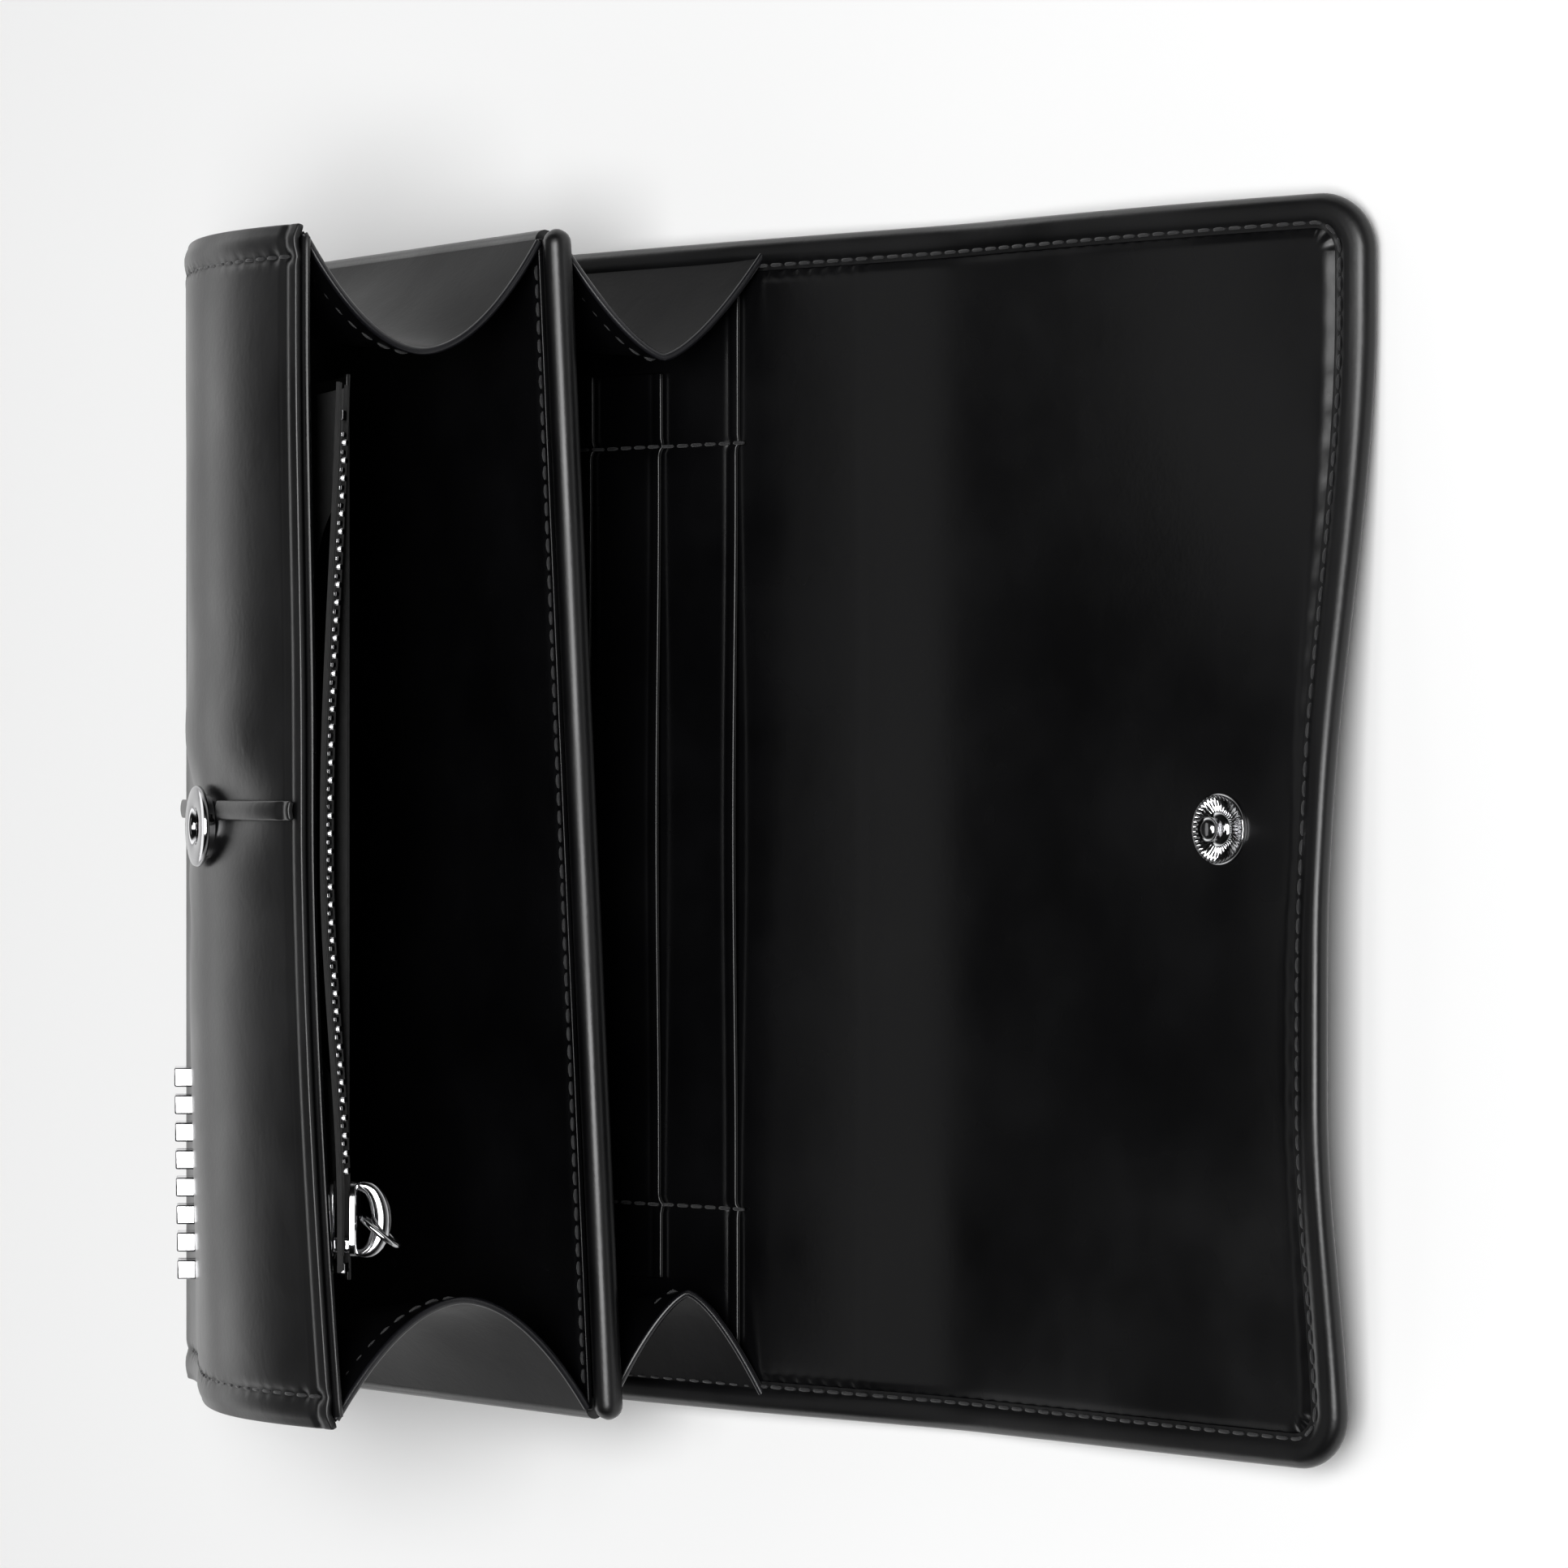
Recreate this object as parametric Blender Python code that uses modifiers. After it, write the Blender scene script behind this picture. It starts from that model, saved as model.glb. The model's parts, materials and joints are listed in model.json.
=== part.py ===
"""Leather flap wallet with a zipped front pocket, lying open on its back.

Row frame: X runs along the wallet, +Y from the bottom fold to the flap's free edge, +Z up.
The origin is the middle of the back panel's outer face. Lengths below are in millimetres.
"""

from math import cos, pi, radians, sin

import bmesh
import bpy
from mathutils import Matrix, Vector

MM = 0.001
GAP = 0.3  # clearance between pieces that touch
LEATHER = 1.4
BOARD = 0.8
LINING = 1.0

HALF_LENGTH = 95.0
BACK_HEIGHT = 116.0
BASE_WIDTH = 30.0
STRIP_LENGTH = 33.7
FLAP_LENGTH = 80.0
FLAP_CORNER = 9.0
BINDING_RADIUS = 1.9
STACK = LEATHER + BOARD + LINING + 2 * GAP  # shell, board and lining on each other

FRONT_CHORD = 86.0
FRONT_BULGE = 10.0
FRONT_BULGE_POWER = 1.5  # moves the crest of the bulge towards the mouth
FRONT_OPEN = 28.5  # degrees above the back panel
FRONT_SHUT = -3.5

DIVIDER_ROOT = (2.0, 14.0)
DIVIDER_HEIGHT = 92.0
DIVIDER_OPEN = 8.0
DIVIDER_FACE = 0.9
DIVIDER_BOARD = 0.8
DIVIDER_HALF = DIVIDER_FACE + GAP + DIVIDER_BOARD / 2
DIVIDER_ROLL = 2.3

FLAP_OPEN = 5.0  # degrees above the back panel
STUD_FROM_EDGE = 22.7
SNAP_STANDS = 3.2  # height of the socket above the front leather

GUSSET = 0.9
GUSSET_DEPTH_BASE = 6.0
GUSSET_DEPTH_MOUTH = 18.0
GUSSET_FOLD_POWER = 1.6

ORNAMENT_COUNT = 8
ORNAMENT_BAR = (3.2, 6.4, 3.4)
ORNAMENT_FIRST = 42.0
ORNAMENT_LAST = 74.0
ORNAMENT_ALONG = 24.0

ZIP_HALF = 62.0
ZIP_PLACE = (83.5, -5.0)  # chain's middle, along and below the front panel's chord
ZIP_TILT = 65.0  # degrees from the panel's plane to the zip's normal
TAPE = 0.6
TOOTH_PITCH = 2.8
TOOTH = (1.1, 2.9, 2.0)
PULL_LEAN = 38.0

BASE_Y = -BACK_HEIGHT / 2


def front_rise(along):
    """Height of the front leather's outer face above the panel's chord."""
    return FRONT_BULGE * sin(pi * (along / FRONT_CHORD) ** FRONT_BULGE_POWER)


def socket_along():
    """Where the socket sits on the front panel, so that the closed flap's stud meets it."""
    shut = radians(-FRONT_SHUT)
    hinge_height = STACK + STRIP_LENGTH
    flap_reach = FLAP_LENGTH - STUD_FROM_EDGE
    drop = (BASE_WIDTH - hinge_height) * sin(shut)
    return BACK_HEIGHT * cos(shut) + drop - flap_reach


def clear_scene():
    for obj in list(bpy.data.objects):
        bpy.data.objects.remove(obj, do_unlink=True)


def new_collection(name):
    collection = bpy.data.collections.new(name)
    bpy.context.scene.collection.children.link(collection)
    return collection


def new_material(name, colour, roughness, metallic=0.0):
    material = bpy.data.materials.new(name)
    material.use_nodes = True
    shader = material.node_tree.nodes["Principled BSDF"]
    shader.inputs["Base Color"].default_value = (*colour, 1.0)
    shader.inputs["Roughness"].default_value = roughness
    shader.inputs["Metallic"].default_value = metallic
    return material


clear_scene()
WALLET = new_collection("chain_wallet")
CUTTERS = new_collection("cutters")

MATERIALS = {
    "leather": new_material("black_leather", (0.018, 0.018, 0.020), 0.38),
    "lining": new_material("black_lining_leather", (0.022, 0.022, 0.024), 0.42),
    "fabric": new_material("black_pocket_cloth", (0.02, 0.02, 0.02), 0.9),
    "board": new_material("grey_board", (0.32, 0.30, 0.27), 0.85),
    "tape": new_material("black_zip_tape", (0.015, 0.015, 0.015), 0.9),
    "metal": new_material("polished_nickel", (0.78, 0.78, 0.80), 0.12, 1.0),
}


def new_frame(name, along_y, up_z, tilt=0.0, parent=None, x=0.0):
    """An empty on a joint's axis: a panel's own Y runs up the panel and its Z is its normal."""
    empty = bpy.data.objects.new(name, None)
    WALLET.objects.link(empty)
    empty.parent = parent
    empty.location = (x * MM, along_y * MM, up_z * MM)
    empty.rotation_euler = (radians(tilt), 0.0, 0.0)
    return empty


def add_object(name, mesh, frame, material):
    obj = bpy.data.objects.new(name, mesh)
    WALLET.objects.link(obj)
    obj.parent = frame
    if material:
        obj.data.materials.append(MATERIALS[material])
    return obj


def from_bmesh(name, bm, frame, material):
    bmesh.ops.recalc_face_normals(bm, faces=bm.faces)
    mesh = bpy.data.meshes.new(name)
    bm.to_mesh(mesh)
    bm.free()
    return add_object(name, mesh, frame, material)


def add_bevel(obj, width, segments=2):
    bevel = obj.modifiers.new("edges", "BEVEL")
    bevel.width = width * MM
    bevel.segments = segments
    bevel.limit_method = "ANGLE"


def block(bm, low, high):
    """Adds a box between two corners."""
    centre = [(a + b) / 2 * MM for a, b in zip(low, high)]
    size = [(b - a) * MM for a, b in zip(low, high)]
    matrix = Matrix.Translation(centre) @ Matrix.Diagonal((*size, 1.0))
    bmesh.ops.create_cube(bm, size=1.0, matrix=matrix)


def plate(name, frame, material, low, high, bevel=0.3):
    bm = bmesh.new()
    block(bm, low, high)
    obj = from_bmesh(name, bm, frame, material)
    if bevel:
        add_bevel(obj, bevel)
    return obj


def cylinder(bm, radius, depth, centre, segments=24):
    bmesh.ops.create_cone(
        bm,
        cap_ends=True,
        segments=segments,
        radius1=radius * MM,
        radius2=radius * MM,
        depth=depth * MM,
        matrix=Matrix.Translation(Vector(centre) * MM),
    )


def sheet(name, frame, material, half_width, start, end, height_at, thickness, rows=14):
    """A sheet that follows height_at(along) on its upper side."""
    bm = bmesh.new()
    bmesh.ops.create_grid(bm, x_segments=2, y_segments=rows, size=0.5)
    for vert in bm.verts:
        along = start + (end - start) * (vert.co.y + 0.5)
        vert.co = Vector((2 * half_width * vert.co.x, along, height_at(along))) * MM
    obj = from_bmesh(name, bm, frame, material)
    if obj.data.polygons[0].normal.z < 0:
        obj.data.flip_normals()
    solidify = obj.modifiers.new("thickness", "SOLIDIFY")
    solidify.thickness = thickness * MM
    solidify.offset = -1.0
    return obj


def turned(name, frame, material, profile, place, steps=28):
    """Turns a profile of (radius, height) points, anticlockwise, about the frame's Z axis at place."""
    mesh = bpy.data.meshes.new(name)
    points = [(r * MM, 0.0, z * MM) for r, z in profile]
    edges = [(i, (i + 1) % len(points)) for i in range(len(points))]
    off_axis = [pair for pair in edges if any(profile[i][0] > 0 for i in pair)]
    mesh.from_pydata(points, off_axis, [])
    obj = add_object(name, mesh, frame, material)
    obj.location = Vector(place) * MM
    screw = obj.modifiers.new("turn", "SCREW")
    screw.steps = steps
    screw.render_steps = steps
    screw.use_merge_vertices = True
    screw.merge_threshold = 0.00001
    screw.use_normal_flip = True
    return obj


def wire(name, frame, material, points, radius, cyclic=False, sides=2):
    curve = bpy.data.curves.new(name, "CURVE")
    curve.dimensions = "3D"
    curve.bevel_depth = radius * MM
    curve.bevel_resolution = sides
    curve.use_fill_caps = not cyclic
    spline = curve.splines.new("POLY")
    spline.points.add(len(points) - 1)
    for point, place in zip(spline.points, points):
        point.co = (*(Vector(place) * MM), 1.0)
    spline.use_cyclic_u = cyclic
    return add_object(name, curve, frame, material)


def arc(centre, radius, first, last, steps=6):
    """Points on an arc in the plane, in degrees."""
    turns = [radians(first + (last - first) * i / steps) for i in range(steps + 1)]
    return [(centre[0] + radius * cos(a), centre[1] + radius * sin(a)) for a in turns]


def flap_outline(inset, start, end, corner):
    """The flap's outline, square at the fold and round at its two free corners."""
    right = HALF_LENGTH - inset
    free = end - inset
    radius = corner - inset
    rounded = arc((right - radius, free - radius), radius, 0, 90)
    rounded += arc((-right + radius, free - radius), radius, 90, 180)
    return [(right, start), *rounded, (-right, start)]


def outline_plate(name, frame, material, outline, low, high):
    curve = bpy.data.curves.new(name, "CURVE")
    curve.dimensions = "2D"
    curve.fill_mode = "BOTH"
    curve.extrude = (high - low) / 2 * MM
    spline = curve.splines.new("POLY")
    spline.points.add(len(outline) - 1)
    for point, (x, y) in zip(spline.points, outline):
        point.co = (x * MM, y * MM, 0.0, 1.0)
    spline.use_cyclic_u = True
    obj = add_object(name, curve, frame, material)
    obj.location.z = (low + high) / 2 * MM
    return obj


def as_mesh(obj):
    """Replaces a curve object by its mesh, so that a Boolean can work on it."""
    bpy.context.view_layer.update()
    graph = bpy.context.evaluated_depsgraph_get()
    mesh = bpy.data.meshes.new_from_object(obj.evaluated_get(graph))
    bm = bmesh.new()
    bm.from_mesh(mesh)
    bmesh.ops.remove_doubles(bm, verts=bm.verts, dist=1e-6)
    bmesh.ops.recalc_face_normals(bm, faces=bm.faces)
    bm.to_mesh(mesh)
    bm.free()
    name, frame, location = obj.name, obj.parent, obj.location.copy()
    bpy.data.objects.remove(obj, do_unlink=True)
    mesh.name = name
    solid = add_object(name, mesh, frame, None)
    solid.location = location
    return solid


def boolean(obj, other, operation):
    modifier = obj.modifiers.new(operation.lower(), "BOOLEAN")
    modifier.operation = operation
    modifier.solver = "EXACT"
    modifier.object = other


def cutter(name, bm, frame):
    obj = from_bmesh(name, bm, frame, None)
    WALLET.objects.unlink(obj)
    CUTTERS.objects.link(obj)
    obj.hide_render = True
    obj.display_type = "WIRE"
    return obj


def make_back(frame):
    """The outer leather, its board and its lining, with the bottom fold at the near edge."""
    far = BACK_HEIGHT - GAP
    edge = HALF_LENGTH
    board = LEATHER + GAP
    lining = board + BOARD + GAP
    plate("back_shell", frame, "leather", (-edge, GAP, 0), (edge, far, LEATHER))
    plate("back_board", frame, "board", (-edge + 4, 4, board), (edge - 4, far - 4, board + BOARD), 0)
    plate("back_lining", frame, "lining", (-edge, 1.5, lining), (edge, far, STACK))
    plate("base_shell", frame, "leather", (-edge, -LEATHER, 0), (edge, 0, BASE_WIDTH - 1.8))
    base_board = (edge - 4, GAP + BOARD, BASE_WIDTH - 4)
    plate("base_board", frame, "board", (-edge + 4, GAP, STACK + GAP), base_board, 0)


def make_card_slots(frame):
    """Card slots, each lower and nearer than the one behind it."""
    slots = ((102.0, 91.0), (85.0, 73.0), (70.0, 73.0), (55.0, 73.0))
    height = STACK + GAP
    for number, (top, half_width) in enumerate(slots, 1):
        low = (-half_width, 8.0, height)
        plate(f"card_slot_{number}", frame, "lining", low, (half_width, top, height + 0.7), 0.2)
        height += 0.7 + GAP


def make_front(frame):
    """The bulging front leather, its board, the zipped pocket's wall and its cloth bag."""
    edge = HALF_LENGTH
    start = 0.5
    board_start, board_end = 6.0, FRONT_CHORD - 10.0
    shell = sheet("front_shell", frame, "leather", edge, start, FRONT_CHORD, front_rise, LEATHER, 20)
    board_top = LEATHER + GAP + 0.15
    board = sheet(
        "front_board", frame, "board", edge - 5, board_start, board_end,
        lambda along: front_rise(along) - board_top, BOARD,
    )
    sheet(
        "front_facing", frame, "lining", edge - 3, board_end + 1.5, FRONT_CHORD - 4,
        lambda along: front_rise(along) - board_top, BOARD, 4,
    )
    wall_top = ZIP_PLACE[1] - 3.4
    wall_end = ZIP_PLACE[0] - 6.2
    plate(
        "pocket_wall", frame, "lining", (-72, 4, wall_top - LINING), (72, wall_end, wall_top), 0.2,
    )
    plate(
        "pocket_bag_inner", frame, "fabric",
        (-70, 10, wall_top + GAP), (70, wall_end - 2, wall_top + GAP + 0.4), 0,
    )
    bag_top = board_top + BOARD + GAP + 0.2
    sheet(
        "pocket_bag_outer", frame, "fabric", 70, 10, board_end - 4,
        lambda along: front_rise(along) - bag_top, 0.4,
    )
    return shell, board


def make_front_strap(frame):
    """The narrow leather strap that runs up the front beside the snap."""
    lift = GAP
    along = socket_along()
    for name, start, end in (
        ("front_strap_lower", 1.5, along - 7.2),
        ("front_strap_upper", along + 7.2, FRONT_CHORD - 1.0),
    ):
        obj = sheet(
            name, frame, "leather", 1.6, start, end,
            lambda y: front_rise(y) + lift + 1.1, 1.0, 12,
        )
        obj.location.x = -1.6 * MM


def make_socket(frame, shell, board):
    """The female half of the snap: flanged socket, wire spring, and the eyelet behind the leather."""
    along = socket_along()
    crest = front_rise(along)
    place = (0, along, crest)
    turned(
        "snap_socket", frame, "metal",
        [(2.9, 0.7), (4.9, 0.7), (5.2, 0.9), (5.2, 1.9), (6.5, 2.2), (6.5, 2.9),
         (6.1, SNAP_STANDS), (3.0, SNAP_STANDS), (2.5, 2.7), (2.5, 2.2), (3.6, 1.9), (3.6, 1.1), (2.9, 1.0)],
        place,
    )
    ring = [(x, along + y, crest + 1.45) for x, y in arc((0, 0), 3.0, 20, 340, 20)]
    wire("snap_spring", frame, "metal", ring, 0.3, sides=1)
    inner = LEATHER + GAP + 0.15 + BOARD + GAP + 0.6
    turned(
        "socket_eyelet", frame, "metal",
        [(1.8, -inner - 0.5), (4.6, -inner - 0.5), (4.6, -inner), (2.4, -inner), (2.4, 0.9), (1.8, 0.9)],
        place, 20,
    )
    hole = bmesh.new()
    cylinder(hole, 2.8, 14, place)
    hole_cutter = cutter("socket_hole", hole, frame)
    for layer in (shell, board):
        boolean(layer, hole_cutter, "DIFFERENCE")
    bag_hole = bmesh.new()
    cylinder(bag_hole, 5.6, 6, (0, along, crest - inner))
    boolean(bpy.data.objects["pocket_bag_outer"], cutter("bag_hole", bag_hole, frame), "DIFFERENCE")


def make_ornament(frame, shell):
    """A row of plain metal bars, each held by two prongs through the leather."""
    width, height, stands = ORNAMENT_BAR
    along = ORNAMENT_ALONG
    slope = (front_rise(along + 1) - front_rise(along - 1)) / 2
    holes = bmesh.new()
    for number in range(ORNAMENT_COUNT):
        x = ORNAMENT_FIRST + (ORNAMENT_LAST - ORNAMENT_FIRST) * number / (ORNAMENT_COUNT - 1)
        body = bmesh.new()
        block(body, (-width / 2, -height / 2, 0.45), (width / 2, height / 2, stands + 0.45))
        bar = from_bmesh(f"ornament_bar_{number + 1}", body, frame, "metal")
        add_bevel(bar, 0.5, 2)
        pins = bmesh.new()
        for y in (-1.8, 1.8):
            cylinder(pins, 0.5, LEATHER + 1.2, (0, y, 0.6 - LEATHER / 2), 8)
            cylinder(holes, 0.9, LEATHER + 2.4, (x, y, -LEATHER / 2), 8)
        prongs = cutter(f"prongs_{number + 1}", pins, frame)
        for obj in (bar, prongs):
            obj.location = Vector((x, along, front_rise(along))) * MM
            obj.rotation_euler = (slope, 0, 0)
        boolean(bar, prongs, "UNION")
    hole_cutter = cutter("prong_holes", holes, frame)
    hole_cutter.location = Vector((0, along, front_rise(along))) * MM
    hole_cutter.rotation_euler = (slope, 0, 0)
    boolean(shell, hole_cutter, "DIFFERENCE")


def make_divider(frame):
    """Two leather faces on a board, with a rolled binding along the top."""
    edge = HALF_LENGTH - 1.0
    faces = (("divider_face_front", DIVIDER_HALF - DIVIDER_FACE), ("divider_face_rear", -DIVIDER_HALF))
    for name, low in faces:
        plate(name, frame, "lining", (-edge, 0.8, low), (edge, DIVIDER_HEIGHT, low + DIVIDER_FACE))
    half = DIVIDER_BOARD / 2
    plate("divider_board", frame, "board", (-edge + 3, 3, -half), (edge - 3, DIVIDER_HEIGHT - 2, half), 0)
    roll = DIVIDER_HEIGHT + GAP + DIVIDER_ROLL
    points = [(x, roll, 0) for x in (-edge - 1.5, -edge / 3, edge / 3, edge + 1.5)]
    wire("divider_binding", frame, "leather", points, DIVIDER_ROLL, sides=4)


def make_zip(frame):
    """Tapes, teeth and end stops of the pocket's zip, in the zip's own frame."""
    plate("zip_tape_upper", frame, "tape", (-70, 2.5, -TAPE / 2), (70, 4.6, TAPE / 2), 0)
    plate("zip_tape_lower", frame, "tape", (-70, -5.4, -TAPE / 2), (70, -2.5, TAPE / 2), 0)
    length, reach, height = TOOTH
    per_side = int(2 * (ZIP_HALF - 2.0) / TOOTH_PITCH)
    for name, side, shift in (("zip_teeth_upper", 1, 0.0), ("zip_teeth_lower", -1, 0.5)):
        root, tip = side * 2.2, side * (2.2 - reach)
        comb = [(-ZIP_HALF - 1, side * 1.5), (-ZIP_HALF - 1, root)]
        end = -ZIP_HALF + (per_side - 1 + shift) * TOOTH_PITCH + length / 2
        comb.append((end, root))
        for number in reversed(range(per_side)):
            x = -ZIP_HALF + (number + shift) * TOOTH_PITCH
            right, left = x + length / 2, x - length / 2
            if number < per_side - 1:
                comb.append((right, side * 1.5))
            comb += [(right, tip), (left, tip), (left, side * 1.5)]
        as_mesh(outline_plate(name, frame, "metal", comb, -height / 2, height / 2))
    for name, x in (("zip_stop_closed", ZIP_HALF + 7.6), ("zip_stop_open", -ZIP_HALF - 3.0)):
        plate(name, frame, "metal", (x - 1.0, -2.1, -1.2), (x + 1.0, 2.1, 1.2), 0.3)


def make_slider(frame):
    """The slider's two plates on their wedge, and the crown that holds the pull."""
    bm = bmesh.new()
    block(bm, (-5.6, -3.4, 1.3), (5.6, 3.4, 2.2))
    slider = from_bmesh("zip_slider", bm, frame, "metal")
    bm = bmesh.new()
    block(bm, (-5.6, -3.4, -2.2), (5.6, 3.4, -1.3))
    lower = cutter("slider_lower_plate", bm, frame)
    bm = bmesh.new()
    block(bm, (3.0, -1.0, -1.8), (5.2, 1.0, 1.8))
    wedge = cutter("slider_wedge", bm, frame)
    boolean(slider, wedge, "UNION")
    boolean(slider, lower, "UNION")
    bm = bmesh.new()
    foot, top, wall = 3.4, 4.9, 0.8
    block(bm, (-foot, -0.9, 2.2 + GAP), (foot, 0.9, top))
    crown = from_bmesh("slider_crown", bm, frame, "metal")
    bm = bmesh.new()
    block(bm, (-foot + wall, -2, 0), (foot - wall, 2, top - wall))
    boolean(crown, cutter("crown_window", bm, frame), "DIFFERENCE")
    add_bevel(crown, 0.3, 1)


def make_pull(frame):
    """A small wire loop that hangs in the crown."""
    width, length, radius = 2.3, 5.6, 0.6
    loop = arc((0, length - width), width, 0, 180, 10) + arc((0, 0), width, 180, 360, 10)
    points = [(0, x, y + width) for x, y in loop]
    wire("zip_pull", frame, "metal", points, radius, cyclic=True)


def make_fold_strip(frame):
    """The soft stretch between the back panel and the flap, below the hinge line at its lining's face."""
    edge = HALF_LENGTH
    low = -STACK
    near, far = GAP, STRIP_LENGTH - GAP
    plate("fold_shell", frame, "leather", (-edge, near, low), (edge, far, low + LEATHER))
    middle = low + LEATHER + GAP
    plate(
        "fold_interlining", frame, "fabric",
        (-edge + 4, near + 1, middle), (edge - 4, far - 1, middle + BOARD), 0,
    )
    plate("fold_lining", frame, "lining", (-edge, near, -LINING), (edge, far, 0))


def make_flap(frame):
    """Flap leather, board and lining inside a rolled binding, below the hinge line at the lining's face."""
    low = -STACK
    inset = 2 * BINDING_RADIUS + GAP
    layers = (
        ("flap_shell", "leather", low, LEATHER, inset),
        ("flap_board", "board", low + LEATHER + GAP, BOARD, inset + 3),
        ("flap_lining", "lining", -LINING, LINING, inset),
    )
    solids = []
    for name, material, bottom, thickness, gap in layers:
        outline = flap_outline(gap, GAP if gap == inset else 3.0, FLAP_LENGTH, FLAP_CORNER + 3)
        solids.append(as_mesh(outline_plate(name, frame, material, outline, bottom, bottom + thickness)))
    edge = flap_outline(BINDING_RADIUS, 2 * GAP, FLAP_LENGTH, FLAP_CORNER)
    middle = -BINDING_RADIUS
    wire("flap_binding", frame, "leather", [(x, y, middle) for x, y in edge], BINDING_RADIUS, sides=3)
    return solids


def make_stud(frame, layers):
    """The male half of the snap: ribbed cup and ball stud inside, cap and post outside."""
    along = FLAP_LENGTH - STUD_FROM_EDGE
    place = (0, along, 0)
    outer = -STACK
    turned(
        "snap_cup", frame, "metal",
        [(2.9, 0.3), (5.3, 0.3), (5.5, 0.6), (5.3, 1.2), (4.8, 1.2), (4.6, 0.8), (2.9, 0.7)],
        place,
    )
    turned(
        "snap_stud", frame, "metal",
        [(1.3, 0.3), (2.6, 0.3), (2.6, 1.0), (1.7, 1.4), (1.5, 2.2), (1.9, 2.9), (1.8, 3.4), (1.2, 3.8),
         (0, 3.9), (0, 2.0), (1.3, 2.0)],
        place, 20,
    )
    turned(
        "snap_cap", frame, "metal",
        [(0, outer - 1.5), (4.2, outer - 1.4), (5.8, outer - 0.9), (6.2, outer - 0.3), (1.0, outer - 0.3),
         (1.0, 1.6), (0, 1.6)],
        place,
    )
    hole = bmesh.new()
    cylinder(hole, 1.4, 12, place, 20)
    hole_cutter = cutter("stud_hole", hole, frame)
    for layer in layers:
        boolean(layer, hole_cutter, "DIFFERENCE")


def gusset(name, frame, lower_at, upper_at, end_lower, end_upper, side):
    """A folded end wall between two panels: lower_at and upper_at give (y, z) at 0..1 up each panel."""
    rows, columns = 7, 12
    bm = bmesh.new()
    bmesh.ops.create_grid(bm, x_segments=columns, y_segments=rows, size=0.5)
    for vert in bm.verts:
        across, up = vert.co.x + 0.5, vert.co.y + 0.5
        low = Vector(lower_at(up * end_lower))
        high = Vector(upper_at(up * end_upper))
        y, z = low.lerp(high, across)
        depth = GUSSET_DEPTH_BASE + (GUSSET_DEPTH_MOUTH - GUSSET_DEPTH_BASE) * up
        fold = depth * (1 - abs(2 * across - 1) ** GUSSET_FOLD_POWER)
        vert.co = Vector((side * (HALF_LENGTH - 0.8 - fold), y, z)) * MM
    obj = from_bmesh(name, bm, frame, "lining")
    solidify = obj.modifiers.new("thickness", "SOLIDIFY")
    solidify.thickness = GUSSET * MM
    solidify.offset = 0.0
    return obj


def turned_by(place, root, degrees_up):
    """Turns a panel's own (along, height) into the back panel's (y, z)."""
    a = radians(degrees_up)
    along, height = place
    return (root[0] + along * cos(a) - height * sin(a), root[1] + along * sin(a) + height * cos(a))


def make_gussets(back):
    clear = GUSSET / 2 + GAP + 0.35

    def back_line(along):
        return (3.0 + along, STACK + clear)

    def divider_line(side):
        def line(along):
            return turned_by((2.0 + along, side * (DIVIDER_HALF + clear)), DIVIDER_ROOT, DIVIDER_OPEN)
        return line

    def front_line(along):
        below = LEATHER + GAP + BOARD + clear
        place = (3.0 + along, front_rise(3.0 + along) - below)
        return turned_by(place, (0.0, BASE_WIDTH), FRONT_OPEN)

    for word, side in (("left", -1), ("right", 1)):
        gusset(f"gusset_rear_{word}", back, back_line, divider_line(-1), 108.0, 87.0, side)
        gusset(f"gusset_front_{word}", back, divider_line(1), front_line, 87.0, 80.0, side)


def main():
    back = new_frame("back_frame", BASE_Y, 0.0)
    divider = new_frame("divider_hinge", *DIVIDER_ROOT, DIVIDER_OPEN, back)
    front = new_frame("front_hinge", 0.0, BASE_WIDTH, FRONT_OPEN, back)
    strip = new_frame("fold_hinge", BACK_HEIGHT, STACK, 0.0, back)
    flap = new_frame("flap_hinge", STRIP_LENGTH, 0.0, FLAP_OPEN, strip)
    zip_tilt = -(90 + ZIP_TILT)
    zip_frame = new_frame("zip_line", *ZIP_PLACE, zip_tilt, front)
    slider = new_frame("slider_place", 0.0, 0.0, 0.0, zip_frame, ZIP_HALF)
    pull = new_frame("pull_hinge", 0.0, 3.3, 0.0, slider)
    pull.rotation_euler = (0.0, radians(PULL_LEAN), 0.0)

    make_back(back)
    make_card_slots(back)
    shell, board = make_front(front)
    make_front_strap(front)
    make_socket(front, shell, board)
    make_ornament(front, shell)
    make_divider(divider)
    make_zip(zip_frame)
    make_slider(slider)
    make_pull(pull)
    make_fold_strip(strip)
    make_stud(flap, make_flap(flap))
    make_gussets(back)


main()
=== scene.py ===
"""Looks of a black leather flap wallet lying open on its back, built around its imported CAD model.

Row frame: X along the wallet, +Y from the bottom fold to the flap's free edge, +Z up from the table.
Lengths below are in millimetres until a point is handed to Blender.
"""

import json
from math import cos, exp, log1p, pi, radians, sin, sqrt

import bmesh
import bpy
from mathutils import Matrix, Vector


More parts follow.
